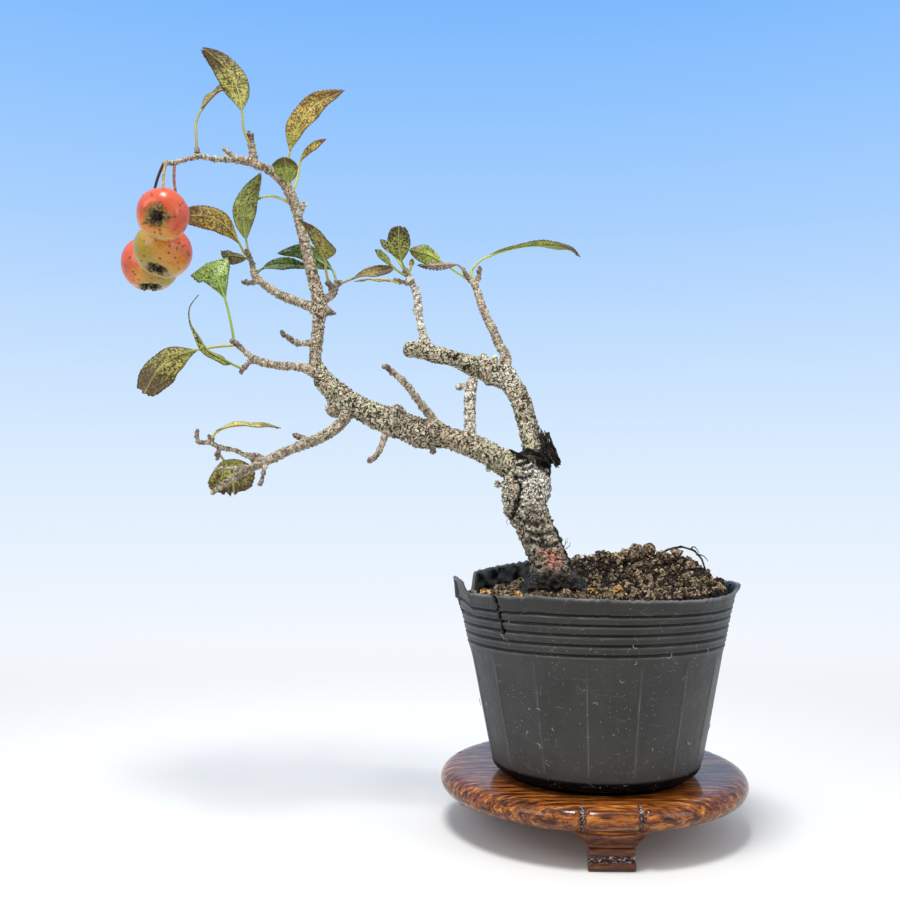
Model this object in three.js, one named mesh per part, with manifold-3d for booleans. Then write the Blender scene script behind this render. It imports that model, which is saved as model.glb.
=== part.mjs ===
// A small hawthorn bonsai in a nursery pot on a round footed stand.
// Millimetres, +Z up. The wood and each leaf follow routes of hand-chosen points.
import * as THREE from 'three';
import { mergeVertices } from 'three/addons/utils/BufferGeometryUtils.js';
import Module from 'manifold-3d';

const wasm = await Module();
wasm.setup();

// Driving dimensions
const GAP = 0.3;
const STAND = { radius: 50, top: 18.6, thick: 10.4, nose: 6, fullNose: 3.2, feet: 3 };
const FOOT = { width: 14, height: 6.6, back: 33, front: 46.6, grooveLow: 2.6, grooveHigh: 3.9, sunk: 1.2 };
const APRON = { flare: 5, rise: 4.4, height: 8, depth: 20, notch: 1.2, notchTurn: 0.195 };
const POT = { y: -8, baseRadius: 32.8, slope: 0.2, wall: 1, height: 59.4, rimFrom: 57, drain: 6, corner: 3 };
const GROOVES = { first: 42.4, pitch: 2.95, count: 5, depth: 0.5, half: 0.6 };
const SOIL = { top: 77.2, tilt: 0.03, grain: 1.6, wallDrop: 2, wallGap: 0.45 };
const CRUMBS = { count: 24, reach: 38, low: 1.1, high: 2.3 };
const HEAP = { x: 18, y: 12, wide: 25, deep: 15, height: 11.5 };
const HOLLOW = { x: -33, y: 4, wide: 10, deep: 16, height: -2.5 };
const BLADE = { thick: 0.31, stalkWide: 0.5, stalkThick: 0.42, tip: 0.35, power: 1.3, notch: 0.84 };
const FRUIT = { flat: 0.92, sepals: 5, stalk: 0.55 };
const EYE = { basin: 2.6, basinWide: 0.42, dimple: 1.3, dimpleWide: 0.3 };
const BARK = 0.07;

// The torn rim's rises and dips: angle from +X and width in degrees, and height
const TORN = [[150, 22, 3.4], [182, 9, 2.6], [205, 8, -1.4], [352, 9, 1.2], [90, 40, 1.2]];
const PEBBLES = [[-4, -33, 78, 1.8], [4, -31, 78.6, 1.6], [-36, -28, 77, 1.8], [-27, -36, 77.4, 1.6]];
const ROOT_ARCH = [
  [26, 5, 82, 0.8], [26.5, 5, 87, 0.7], [30, 5, 89.6, 0.7], [34.5, 4, 89.3, 0.7], [38, 3, 86, 0.7],
  [40, 2, 77, 0.8],
];

const COLOURS = {
  trunk: 0x9b9080, pot: 0x2c2c2e, soil: 0x3d2b1f, stand: 0x7b3a1c, fruit: 0xd8623c,
  green: 0x6f7f35, dark: 0x4a5a24, brown: 0x8a6a2c, yellow: 0xa59a45,
};

// Wood: each limb is a list of [x, y, z, radius]
const TRUNK = [
  [-12, -13, 66, 5], [-13, -14, 76, 8], [-14, -14, 80.5, 8.2], [-15, -13, 86.5, 6.5],
  [-17.5, -12, 93, 6.4], [-20.5, -11, 99.5, 6.4], [-22.5, -10.5, 104.5, 7.4],
  [-22, -9.5, 110, 8], [-21.5, -8.5, 114, 7.6], [-21, -8, 118, 5.6],
];
const ROOTS = [
  [[-14, -14, 83, 4.5], [-9, -18, 80, 3.4], [-4, -22, 76, 2.4], [-1, -25, 71, 1.6]],
  [[-15, -14, 82, 4], [-20, -18, 79, 3], [-25, -22, 75, 1.8]],
  [[-14, -13, 82, 4], [-7, -9, 80, 2.8], [-2, -6, 75, 1.6]],
  [[-15, -13, 82, 4], [-20, -8, 79, 2.8], [-25, -4, 74, 1.6]],
];
const LEFT_LIMB = [
  [-21, -8.5, 114.5, 6.5], [-27.5, -8, 117.5, 4.6], [-37, -8, 122.5, 4], [-47, -7.5, 126.5, 3.6],
  [-55.5, -7, 128, 4.8], [-63.5, -6, 131, 4.7], [-70.5, -5, 133.5, 4.4], [-77, -5, 136.5, 4],
  [-83, -4.5, 140, 4.2], [-89, -4, 145.5, 3.6], [-92, -3.5, 151, 2.4],
];
const LEADER = [
  [-89, -4, 145.5, 3.2], [-92, -4, 151, 2.2], [-91.8, -3, 160, 2], [-91.3, -2, 167, 2.2],
  [-91, -2, 171, 2.9], [-92.3, -1, 177, 2.1], [-94.8, 0, 186, 2], [-97, 1, 195, 1.7],
  [-98.5, 1, 200, 1.6], [-100, 2, 206, 1.7], [-101.5, 2, 210, 1.9], [-103.5, 2, 214.3, 1.9],
  [-106, 1.5, 217, 1.8], [-109, 0, 219, 1.5], [-112.5, -2, 220, 1.4], [-117, -3, 221.3, 1.4],
  [-120, -5, 221, 1.2], [-126, -8, 220, 0.9], [-130, -10, 220.2, 0.9], [-135, -12, 218.3, 0.8],
  [-138, -13, 217, 0.8], [-141, -14, 216.6, 0.8],
];
const RIGHT_LIMB = [
  [-19.5, -8, 115, 5.6], [-19.5, -7, 122, 4], [-20, -6, 126, 3.7], [-21.5, -4, 132.5, 3.5],
  [-23.5, -1, 140, 3.5], [-26, 1, 145, 3.6], [-29, 2.5, 149.5, 3.8],
];
const STUB = [
  [-26, 1, 146, 3.6], [-33, 3, 150, 4.3], [-38.5, 3, 151.5, 3.7], [-45, 2, 154, 2.8],
  [-52, 1, 155.5, 3.1], [-57, 0, 157, 3.1], [-61.5, 0, 157, 2.7],
];
const SMALL_LIMBS = [
  // bud stub, dead stub, bud and white knob on the leader
  [[-113.5, -2, 220, 1.4], [-114.5, -2, 225.5, 1.3], [-115, -3, 230.2, 1.2]],
  [[-119.5, -5, 221, 0.9], [-121.5, -6, 222.8, 0.8], [-123.5, -6, 224.5, 0.7]],
  [[-131, -10, 220, 0.9], [-131.3, -10, 222.5, 0.8]],
  [[-99.5, 2, 203.5, 1.4], [-97.3, 0, 207, 1.2]],
  [[-91, -2, 171, 2.4], [-87.2, -2.5, 169.2, 1]],
  // limb to the left from the leader's foot, with its two twigs
  [[-91, -4, 148.5, 2.2], [-97, -6, 150.3, 1.4], [-102, -8, 150.3, 1.3], [-106.5, -10, 150.7, 1.3],
    [-111, -12, 152, 1.3], [-113.5, -13, 154, 0.9], [-116, -14, 156.3, 0.8], [-117.3, -15, 157, 1.1]],
  [[-111.5, -12.5, 152, 0.9], [-114.8, -13, 148.5, 0.8]],
  // limb to the left from the leader's knot, with its bud
  [[-91, -2, 170.5, 1.9], [-98, 1, 173.2, 1.5], [-103.7, 3, 175.7, 1.5], [-108.5, 5, 178.5, 1.4],
    [-112.4, 7, 181.4, 1.2], [-115, 8, 184, 1.2], [-116.4, 9, 189, 1], [-118, 9, 192.6, 0.9]],
  [[-113.5, 7, 181.8, 0.9], [-118.3, 7, 181.4, 0.9]],
  // spur to the right of the knot, with its bud
  [[-91, -2, 171, 1.6], [-89.6, 0, 174, 1.4], [-87.3, 1, 176, 1.2], [-86.4, 2, 178.6, 1.2],
    [-85.5, 3, 180.7, 1.1]],
  [[-87.3, 1, 176, 0.9], [-88.4, 1, 180.2, 0.8]],
  // twigs and nubs of the left limb
  [[-92, -3, 159, 1.3], [-96.4, -6, 158.3, 1], [-98.7, -8, 158.3, 1], [-100.4, -10, 159.7, 0.9],
    [-102, -11, 160.3, 0.8]],
  [[-51.5, -7.5, 129, 1.8], [-52.5, -9, 132.3, 1.5], [-56.8, -12, 137.6, 1.3], [-60, -14, 142, 1.2],
    [-63.2, -16, 145.3, 1.1], [-67.6, -18, 148.6, 0.9]],
  [[-67.5, -6, 131, 1.6], [-68.5, -8, 127.4, 1.1], [-69.6, -10, 123.4, 1], [-71, -11, 120.7, 0.9],
    [-72.7, -12, 119, 0.7]],
  [[-53, -7, 125.5, 1.6], [-52.6, -9, 121.8, 1]],
  // dead branch on the left limb, with its knob
  [[-40.4, -8, 123, 2.4], [-40.4, -8, 128, 2], [-40.4, -6.5, 139, 2], [-39.4, -5, 146.3, 1.7]],
  [[-40, -5.5, 144, 1.4], [-44.5, -7, 143.6, 1.2]],
  // lower left branch with its fingers, spurs and hanging twig
  [[-80, -5, 137.5, 2.6], [-83.3, -8, 131, 1.9], [-89.5, -11, 126.3, 1.8], [-95.6, -14, 123.5, 1.6],
    [-100, -16, 121.4, 1.6], [-104.5, -18, 119, 1.6], [-107, -19, 117.8, 1.4], [-112, -21, 114.8, 1.2],
    [-116.3, -22, 112.3, 1.1], [-121.5, -24, 108.2, 0.8]],
  [[-106.3, -19, 118, 1], [-110, -22, 116.7, 0.7], [-114.4, -24, 116, 0.7], [-120.2, -26, 115.6, 0.6]],
  [[-106, -18, 118.3, 1.2], [-109.2, -17, 119.8, 1.2], [-113, -16, 120.5, 0.8], [-116.4, -15, 122, 0.8],
    [-121.5, -14, 123, 0.8], [-125, -13, 124.6, 0.8], [-129, -12, 125, 0.8], [-129.6, -12, 127.5, 0.7]],
  [[-124, -13, 124, 0.7], [-124.7, -13, 126, 0.7]],
  [[-121.8, -14, 123, 0.7], [-122, -14, 120.2, 0.6]],
  [[-92, -12, 125, 0.9], [-97, -12, 126.8, 0.7]],
  [[-105.6, -18.5, 118.5, 0.9], [-106, -20, 115.5, 0.7], [-107, -20, 111.7, 0.6]],
  // nubs and the two upright shoots of the stub
  [[-35.8, 3, 152, 1.6], [-35.7, 3, 155.4, 1.2]],
  [[-31.5, 3, 150, 1.4], [-31.6, 3.5, 155, 1]],
  [[-28.5, 2.5, 149.5, 2.5], [-28, 5, 156, 1.7], [-30, 6, 159.6, 1.6], [-32.1, 7, 165, 1.6],
    [-34.2, 8, 169.3, 1.4], [-36, 9, 174, 1.4], [-37.2, 10, 178.6, 1.2], [-38.2, 10, 181.3, 1.2],
    [-37.2, 11, 183.7, 0.9], [-36.5, 11, 187, 0.8]],
  [[-37.9, 10, 181, 0.9], [-40.7, 10, 184, 0.9], [-42, 10, 186.3, 0.9]],
  [[-55.5, 0, 156, 2.2], [-55.5, 0, 159.6, 1.8], [-56.2, 0, 162, 1.4], [-57.3, 1, 167.3, 1.2],
    [-58, 1, 170.8, 1.7], [-58, 1, 174, 1.2], [-58.7, 2, 177.2, 1.3], [-60, 2, 180.3, 1.2],
    [-61.4, 2, 183, 1.2], [-62.5, 2, 185, 1]],
  [[-61, 2, 180.3, 0.9], [-65, 1, 180.7, 0.8]],
];
// Knots and swellings: [x, y, z, radius]
const KNOTS = [
  [-85, -5, 137, 3.6], [-92, -1.5, 170.5, 2.6], [-26, -8, 108, 4.2], [-57, -8, 127.5, 4.4],
  [-18, -7.5, 122, 4.8], [-33, 2, 149, 4.2], [-109.5, -17.5, 119.3, 1.6], [-66, -6.5, 131, 4.5],
];
// Torn bark standing off the fork as splinters
const SPLINTERS = [
  [[-17, -8, 121, 2.4], [-14.5, -8.5, 126, 1.5], [-13, -8.5, 130, 0.7]],
  [[-17.5, -8, 117, 2.6], [-12.5, -9, 117.5, 1.6], [-9.5, -9, 118.8, 0.8]],
];

// Leaves: route of [x, y, z], the first `petiole` + 1 points being the stalk;
// `side` is the direction of the blade's width, `fold` the rise of its halves in degrees
const LEAVES = {
  leaf_top: { petiole: 2, wide: 4.9, widest: 0.45, side: [0.85, 0.15, 0.5], fold: 12, colour: 'green',
    route: [[-115, -3, 226.5], [-116.8, -5, 231], [-117.3, -6, 237], [-119, -6, 245], [-123.3, -7, 252.3],
      [-130.6, -9, 258.3]] },
  leaf_top_narrow: { petiole: 3, wide: 3.4, widest: 0.5, side: [-0.3, 1, 0.45], fold: 10, colour: 'brown',
    route: [[-131.3, -10, 222], [-132, -9, 228.5], [-132.5, -7, 233], [-131.4, -5, 238],
      [-128.3, -1, 244.5], [-125, 1, 248], [-122.4, 3, 250.7]] },
  leaf_upper_right: { petiole: 2, wide: 4.9, widest: 0.5, side: [-0.7, 0.2, 0.6], fold: 12, colour: 'brown',
    route: [[-103.6, 2, 214.4], [-104, 6, 221], [-103, 6, 227.5], [-100.5, 6, 236], [-94, 5, 243.5],
      [-82, 3, 249]] },
  leaf_cupped: { petiole: 1, wide: 4.6, widest: 0.6, side: [1, 0, 0], fold: -20, colour: 'green',
    route: [[-103, 2, 213], [-102.2, -1.2, 213.8], [-102, -3, 216], [-102.4, -5, 218.7],
      [-102.4, -9, 220.5]] },
  leaf_small_upper: { petiole: 2, wide: 1.7, widest: 0.5, side: [-0.6, 0.3, 0.7], fold: 10, colour: 'brown',
    route: [[-101.6, 2, 211], [-100.2, 6.5, 219], [-99.5, 7.5, 224.6], [-95.2, 6.5, 229], [-90, 5.5, 232]] },
  leaf_hidden: { petiole: 3, wide: 2.4, widest: 0.5, side: [0, 1, 0.4], fold: 10, colour: 'green',
    route: [[-100.5, 2, 207], [-106.6, 4, 210.5], [-110, 7, 212], [-114, 11.5, 212.7], [-118, 15, 213],
      [-122, 17, 211.5]] },
  leaf_knot_yellow: { petiole: 1, wide: 3.9, widest: 0.55, side: [0.3, 0.2, 0.9], fold: 10, colour: 'yellow',
    route: [[-118.8, 8.2, 191.6], [-120, 5, 194.6], [-123, 1, 199], [-128.3, -3, 201.8],
      [-137.5, -6, 201.3]] },
  leaf_knot_upright: { petiole: 1, wide: 4.3, widest: 0.55, side: [1, 0.1, 0.1], fold: 12, colour: 'green',
    route: [[-117.6, 9.6, 192], [-118.6, 10, 197], [-119.5, 9.5, 203.5], [-118.5, 8.5, 210.5],
      [-112.8, 7, 221]] },
  leaf_knot_small: { petiole: 1, wide: 2.5, widest: 0.6, side: [0, 0.5, 1], fold: 20, colour: 'dark',
    route: [[-116.6, 9, 189.5], [-117.8, 6, 189.8], [-120.5, 2, 189.3], [-123.8, -2, 188.7]] },
  leaf_knot_glossy: { petiole: 1, wide: 2.7, widest: 0.55, side: [0, 0.3, 1], fold: 12, colour: 'dark',
    route: [[-115, 8, 184.5], [-112.8, 9, 187], [-108.5, 10, 188.5], [-103.4, 11, 189], [-95.8, 12, 187.9]] },
  leaf_spur_dark: { petiole: 1, wide: 3.3, widest: 0.5, side: [0.3, 0.1, 1], fold: 12, colour: 'dark',
    route: [[-86, 3.8, 180.4], [-88, 7, 186], [-92.4, 7.5, 189], [-98.4, 7, 192.6], [-107.6, 6, 191.6]] },
  leaf_spur_triangle: { petiole: 2, wide: 6.8, widest: 0.6, side: [0.85, 0.2, -0.5], fold: -25,
    colour: 'yellow', route: [[-88.4, 1, 179.5], [-89.3, 0, 186], [-89, -1, 190], [-89, -4.5, 193.5],
      [-89.2, -9, 195]] },
  leaf_spur_mottled: { petiole: 1, wide: 2.2, widest: 0.6, side: [0, 0.3, 1], fold: 10, colour: 'brown',
    route: [[-85.2, 2.4, 180], [-80.8, 3.6, 182.2], [-76, 4, 184.2], [-70.5, 4, 185], [-66, 5.5, 186.5]] },
  leaf_shoot_thin: { petiole: 1, wide: 1.8, widest: 0.5, side: [0, 1, 0.2], fold: 8, colour: 'yellow',
    route: [[-64.5, 1, 180], [-67.4, -1, 180.3], [-71, -2, 180.5], [-75.3, -4, 180.3], [-79.3, -5, 179.4]] },
  leaf_shoot_upright: { petiole: 1, wide: 3.7, widest: 0.6, side: [1, 0, 0], fold: 15, colour: 'dark',
    route: [[-62.2, 1.8, 184.6], [-63.4, -1, 187], [-64.3, -3, 191.5], [-64.3, -4, 199]] },
  leaf_shoot_narrow: { petiole: 1, wide: 1.5, widest: 0.6, side: [0.5, 0.3, 0.8], fold: 10, colour: 'green',
    route: [[-62.6, 1.4, 182.8], [-66, -1.8, 184.6], [-69, -5, 187.5], [-72, -8, 189.5]] },
  leaf_shoot_dark: { petiole: 1, wide: 1.5, widest: 0.6, side: [0.7, 0, 0.7], fold: 10, colour: 'dark',
    route: [[-62.5, 2, 184.5], [-65.8, 6, 190.3], [-68.7, 8, 194.4], [-71.6, 9, 197.5]] },
  leaf_shoot_tiny: { petiole: 1, wide: 1, widest: 0.5, side: [1, 0, 0.3], fold: 10, colour: 'yellow',
    route: [[-61.6, 2, 183.5], [-60.3, -1.6, 184.8], [-59.8, -3.4, 187.5]] },
  leaf_right_green: { petiole: 2, wide: 2.9, widest: 0.6, side: [0.4, 0.2, 0.9], fold: 12, colour: 'green',
    route: [[-40.8, 10.4, 183.4], [-45.3, 9.6, 186.2], [-49.8, 8, 189], [-54.6, 7, 191.4], [-61.5, 6, 193]] },
  leaf_right_dry: { petiole: 1, wide: 1.9, widest: 0.5, side: [0, 0.4, 1], fold: 25, colour: 'brown',
    route: [[-42, 9.6, 186], [-44.6, 4, 187], [-48.7, 1, 186.4], [-53.8, -2, 185.4], [-58.8, -5, 184.8]] },
  leaf_right_long: { petiole: 3, wide: 3.4, widest: 0.6, side: [0, 1, 0.3], fold: 8, colour: 'green',
    route: [[-38, 10.5, 181.5], [-39.6, 12, 186.5], [-37.2, 12.5, 190], [-33, 12.5, 192.5],
      [-27.6, 12, 194.3], [-20.5, 12, 195.7], [-13.5, 12, 196], [-8.3, 11, 195.3], [-4.2, 10, 193.6],
      [-0.5, 9, 190]] },
  leaf_left_big: { petiole: 2, wide: 6, widest: 0.55, side: [-0.5, 0.2, 0.8], fold: 14, colour: 'green',
    route: [[-117.3, -15.4, 156], [-123, -16, 155.4], [-128.2, -17, 154.3], [-134.4, -18, 152.3],
      [-140, -19, 148], [-144.8, -20, 140.7]] },
  leaf_left_tall: { petiole: 2, wide: 6.6, widest: 0.55, side: [0.9, 0, 0.43], fold: 14, colour: 'green',
    route: [[-117.2, -14.6, 157.6], [-118, -15.5, 163], [-119.6, -16, 170], [-121.2, -17, 175],
      [-123.6, -16.5, 180], [-126.2, -13, 183.3], [-128, -8, 184.5]] },
  leaf_left_curled: { petiole: 1, wide: 2.4, widest: 0.35, side: [0.3, 1, 0.3], fold: 8, colour: 'dark',
    route: [[-114.8, -13, 148.7], [-117.6, -16, 149.8], [-120, -19, 151], [-124, -21, 153.2],
      [-127, -22, 157.7], [-129.6, -22, 162.5], [-130, -21, 167.2], [-128, -18, 172]] },
  leaf_lower_arch: { petiole: 1, wide: 2.8, widest: 0.6, side: [0, 1, 0.35], fold: 8, colour: 'yellow',
    route: [[-124.7, -13, 125.6], [-122.4, -15.5, 128], [-119.5, -17, 129.2], [-114.4, -18, 129.8],
      [-107.4, -18, 129.7], [-99.8, -17, 128.8]] },
  leaf_lower_hanging: { petiole: 1, wide: 7.4, widest: 0.5, side: [1, 0, 0.05], fold: 10, colour: 'yellow',
    route: [[-122, -14, 121], [-121, -11, 119], [-118.5, -9.5, 114.5], [-117, -9, 106.8]] },
};

// Fruits: centre, radius, the way the eye looks, and the stalk from the twig's end
const FRUITS = {
  fruit_front: { at: [-137.3, -26, 196.2], radius: 8, eye: [-0.1, -0.97, -0.2],
    stalk: [[-140.4, -14.4, 216.4], [-140.8, -15, 212], [-140, -16, 205]] },
  fruit_middle: { at: [-141.8, -11, 187.4], radius: 9.6, eye: [-0.1, -0.5, -0.86],
    stalk: [[-137.8, -13, 216.9], [-138.2, -12, 212], [-138.6, -7.5, 205]] },
  fruit_back: { at: [-152, 6.8, 188.6], radius: 9.4, eye: [0.05, -0.15, -1],
    stalk: [[-141.2, -13.6, 216.8], [-144.5, -9.5, 212.5], [-148.5, -2, 206]] },
};

// A repeatable number from 0 to 1 for any list of numbers
function chance(...seeds) {
  const mixed = Math.sin(seeds.reduce((sum, seed, i) => sum + seed * (12.9898 + 7.233 * i), 1.7));
  return Math.abs(mixed * 43758.5453) % 1;
}

function signedVolume(geometry) {
  const p = geometry.attributes.position;
  const a = new THREE.Vector3(), b = new THREE.Vector3(), c = new THREE.Vector3();
  let sum = 0;
  for (let i = 0; i < geometry.index.count; i += 3) {
    a.fromBufferAttribute(p, geometry.index.getX(i));
    b.fromBufferAttribute(p, geometry.index.getX(i + 1));
    c.fromBufferAttribute(p, geometry.index.getX(i + 2));
    sum += a.dot(b.cross(c)) / 6;
  }
  return sum;
}

// Shared vertices merged, faces pointing out
function closed(geometry) {
  geometry.deleteAttribute('normal');
  geometry.deleteAttribute('uv');
  const merged = mergeVertices(geometry, 1e-4);
  if (signedVolume(merged) < 0) {
    const index = merged.index.array;
    for (let i = 0; i < index.length; i += 3) [index[i], index[i + 1]] = [index[i + 1], index[i]];
  }
  return merged;
}

function solid(geometry) {
  const body = closed(geometry);
  return new wasm.Manifold(new wasm.Mesh({
    numProp: 3,
    vertProperties: Float32Array.from(body.attributes.position.array),
    triVerts: Uint32Array.from(body.index.array),
  }));
}

function geometryOf(body) {
  const mesh = body.getMesh();
  const geometry = new THREE.BufferGeometry();
  geometry.setAttribute('position', new THREE.BufferAttribute(mesh.vertProperties, 3));
  geometry.setIndex(new THREE.BufferAttribute(mesh.triVerts, 1));
  return geometry;
}

const join = (bodies) => bodies.reduce((sum, body) => sum.add(body));
const largest = (body) => body.decompose().sort((a, b) => b.volume() - a.volume())[0];

// A closed cylinder bent along a smooth route, its radius following the route's fourth value
function limb(route, sides, step, grow = 0, rough = BARK) {
  const curve = new THREE.CatmullRomCurve3(route.map(([x, y, z]) => new THREE.Vector3(x, y, z)));
  const steps = Math.max(1, Math.round(curve.getLength() / step));
  const frames = curve.computeFrenetFrames(steps);
  const geometry = new THREE.CylinderGeometry(1, 1, 1, sides, steps);
  geometry.deleteAttribute('normal');
  geometry.deleteAttribute('uv');
  const tube = mergeVertices(geometry, 1e-4);
  const p = tube.attributes.position;
  for (let k = 0; k < p.count; k++) {
    const i = Math.round((0.5 - p.getY(k)) * steps);
    const t = curve.getUtoTmapping(i / steps) * (route.length - 1);
    const low = Math.min(Math.floor(t), route.length - 2);
    const radius = THREE.MathUtils.lerp(route[low][3], route[low + 1][3], t - low);
    const centre = curve.getPointAt(i / steps);
    const bark = 1 + rough * (chance(centre.x, centre.y, centre.z, p.getX(k), p.getZ(k)) - 0.5) * 2;
    const out = radius * bark + grow;
    const end = i === 0 ? -1 : Math.floor(i / steps);
    const dome = Math.hypot(p.getX(k), p.getZ(k)) < 0.5 ? 0.35 * radius : 0;
    centre.addScaledVector(frames.normals[i], p.getX(k) * out)
      .addScaledVector(frames.binormals[i], p.getZ(k) * out)
      .addScaledVector(frames.tangents[i], end * (dome + grow));
    p.setXYZ(k, centre.x, centre.y, centre.z);
  }
  return solid(tube);
}

function ball([x, y, z, radius], detail, grow = 0, rough = BARK) {
  const geometry = mergeVertices(bare(new THREE.IcosahedronGeometry(1, detail)), 1e-4);
  const p = geometry.attributes.position;
  for (let k = 0; k < p.count; k++) {
    const size = radius * (1 + rough * (chance(x, y, z, k) - 0.5) * 2) + grow;
    p.setXYZ(k, x + p.getX(k) * size, y + p.getY(k) * size, z + p.getZ(k) * size);
  }
  return solid(geometry);
}

function bare(geometry) {
  geometry.deleteAttribute('normal');
  geometry.deleteAttribute('uv');
  return geometry;
}

// All the wood as one body; grown by a margin it clears what stands round it
function wood(grow) {
  const thick = [
    limb(TRUNK, 12, 4, grow), limb(LEFT_LIMB, 9, 5, grow), limb(RIGHT_LIMB, 9, 5, grow),
    limb(STUB, 8, 5, grow), limb(LEADER, 7, 5.6, grow, 0.09),
  ];
  const roots = ROOTS.map((route) => limb(route, 6, 5, grow));
  const small = SMALL_LIMBS.map((route) => limb(route, 5, 6.4, grow, 0.1));
  const splinters = SPLINTERS.map((route) => limb(route, 5, 3, grow, 0.2));
  const knots = KNOTS.map((knot) => ball(knot, 1, grow, 0.1));
  return join([...thick, ...roots, ...small, ...splinters, ...knots]);
}

// A leaf is one strip of rows, six points a row, its two faces split alike
function leaf({ route, petiole, wide, widest, side, fold }) {
  const curve = new THREE.CatmullRomCurve3(route.map(([x, y, z]) => new THREE.Vector3(x, y, z)));
  const start = petiole / (route.length - 1);
  const stalkRows = 1 + petiole;
  const bladeRows = 2 * (wide > 3 ? 4 : 3) + 1;
  const bend = THREE.MathUtils.degToRad(fold);
  const shape = (s) => (
    (s / widest) ** (BLADE.power * widest) * ((1 - s) / (1 - widest)) ** (BLADE.power * (1 - widest)));
  const across = new THREE.Vector3(...side);
  const points = [];
  const rows = stalkRows + bladeRows;
  for (let i = 0; i <= rows; i++) {
    const s = Math.max(0, (i - stalkRows) / bladeRows);
    const t = i <= stalkRows ? start * i / stalkRows : start + (1 - start) * s;
    const centre = curve.getPoint(t);
    const tangent = curve.getTangent(t);
    const width = across.clone().addScaledVector(tangent, -across.dot(tangent)).normalize();
    const normal = tangent.clone().cross(width);
    const notch = s > 0.3 && i % 2 === 0 ? BLADE.notch : 1;
    const blade = Math.max(BLADE.tip, wide * shape(s) * notch);
    const half = s === 0 ? BLADE.stalkWide : Math.max(BLADE.stalkWide * (1 - s), blade);
    const thick = THREE.MathUtils.lerp(BLADE.stalkThick, BLADE.thick, Math.min(1, s * 5));
    const rise = s === 0 ? 0 : half * Math.sin(bend);
    const reach = s === 0 ? half : half * Math.cos(bend);
    for (const face of [1, -1]) {
      for (const edge of [-1, 0, 1]) {
        points.push(centre.clone()
          .addScaledVector(width, edge * reach)
          .addScaledVector(normal, Math.abs(edge) * rise + face * thick));
      }
    }
  }
  const index = [];
  const quad = (a, b, c, d) => index.push(a, b, c, a, c, d);
  for (let i = 0; i < rows; i++) {
    const near = 6 * i;
    const far = near + 6;
    for (const j of [0, 1]) {
      quad(near + j, near + j + 1, far + j + 1, far + j);
      quad(near + 3 + j, far + 3 + j, far + 4 + j, near + 4 + j);
    }
    quad(near, far, far + 3, near + 3);
    quad(near + 2, near + 5, far + 5, far + 2);
  }
  const end = 6 * rows;
  for (const j of [0, 1]) {
    quad(j, 3 + j, 4 + j, j + 1);
    quad(end + j, end + j + 1, end + 4 + j, end + 3 + j);
  }
  const geometry = new THREE.BufferGeometry();
  geometry.setAttribute('position', new THREE.Float32BufferAttribute(points.flatMap((p) => p.toArray()), 3));
  geometry.setIndex(index);
  return solid(geometry);
}

// A fruit turned about its axis, with a sunk eye, five sepals and its stalk
function fruit({ at, radius, eye, stalk }) {
  const profile = [];
  const steps = 9;
  for (let i = 0; i <= steps; i++) {
    const angle = Math.PI * i / steps;
    const r = radius * Math.sin(angle);
    const lower = angle > Math.PI / 2;
    const basin = lower ? EYE.basin * Math.exp(-((r / (EYE.basinWide * radius)) ** 2)) : 0;
    const dimple = lower ? 0 : EYE.dimple * Math.exp(-((r / (EYE.dimpleWide * radius)) ** 2));
    const height = FRUIT.flat * radius * Math.cos(angle) + basin - dimple;
    profile.push(new THREE.Vector2(i === 0 || i === steps ? 0 : r, height));
  }
  const flesh = new THREE.LatheGeometry(profile, 16);
  const bodies = [flesh];
  for (let i = 0; i < FRUIT.sepals; i++) {
    const sepal = new THREE.ConeGeometry(1.1, 2.6, 4);
    sepal.translate(0, 1.2, 0);
    sepal.rotateZ(-2.2);
    sepal.translate(0.34 * radius, -0.86 * radius + 1.2, 0);
    sepal.rotateY(2 * Math.PI * i / FRUIT.sepals);
    bodies.push(sepal);
  }
  const way = new THREE.Vector3(...eye).normalize();
  const turn = new THREE.Quaternion().setFromUnitVectors(new THREE.Vector3(0, -1, 0), way);
  const placed = bodies.map((body) => solid(body.applyQuaternion(turn).translate(...at)));
  const crown = (share) => at.map((value, axis) => value - share * radius * way.getComponent(axis));
  const thin = [...stalk, crown(1.2), crown(0.6)].map(([x, y, z]) => [x, y, z, FRUIT.stalk]);
  return join([...placed, limb(thin, 5, 4, 0, 0)]);
}

// A profile of [radius, height] turned about Z, closed on itself or on the axis
function turned(profile, segments) {
  const geometry = new THREE.LatheGeometry(profile.map(([r, z]) => new THREE.Vector2(r, z)), segments);
  return bare(geometry.rotateX(Math.PI / 2));
}

// Torn rim: height of the pot's edge above its mean, by the angle from +X in degrees
function rim(angle) {
  const rises = TORN.map(([at, width, height]) => {
    const off = ((angle - at + 540) % 360) - 180;
    return height * Math.exp(-((off / width) ** 2));
  });
  return rises.reduce((sum, rise) => sum + rise) + 0.5 * (chance(Math.round(angle)) - 0.5);
}

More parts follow.
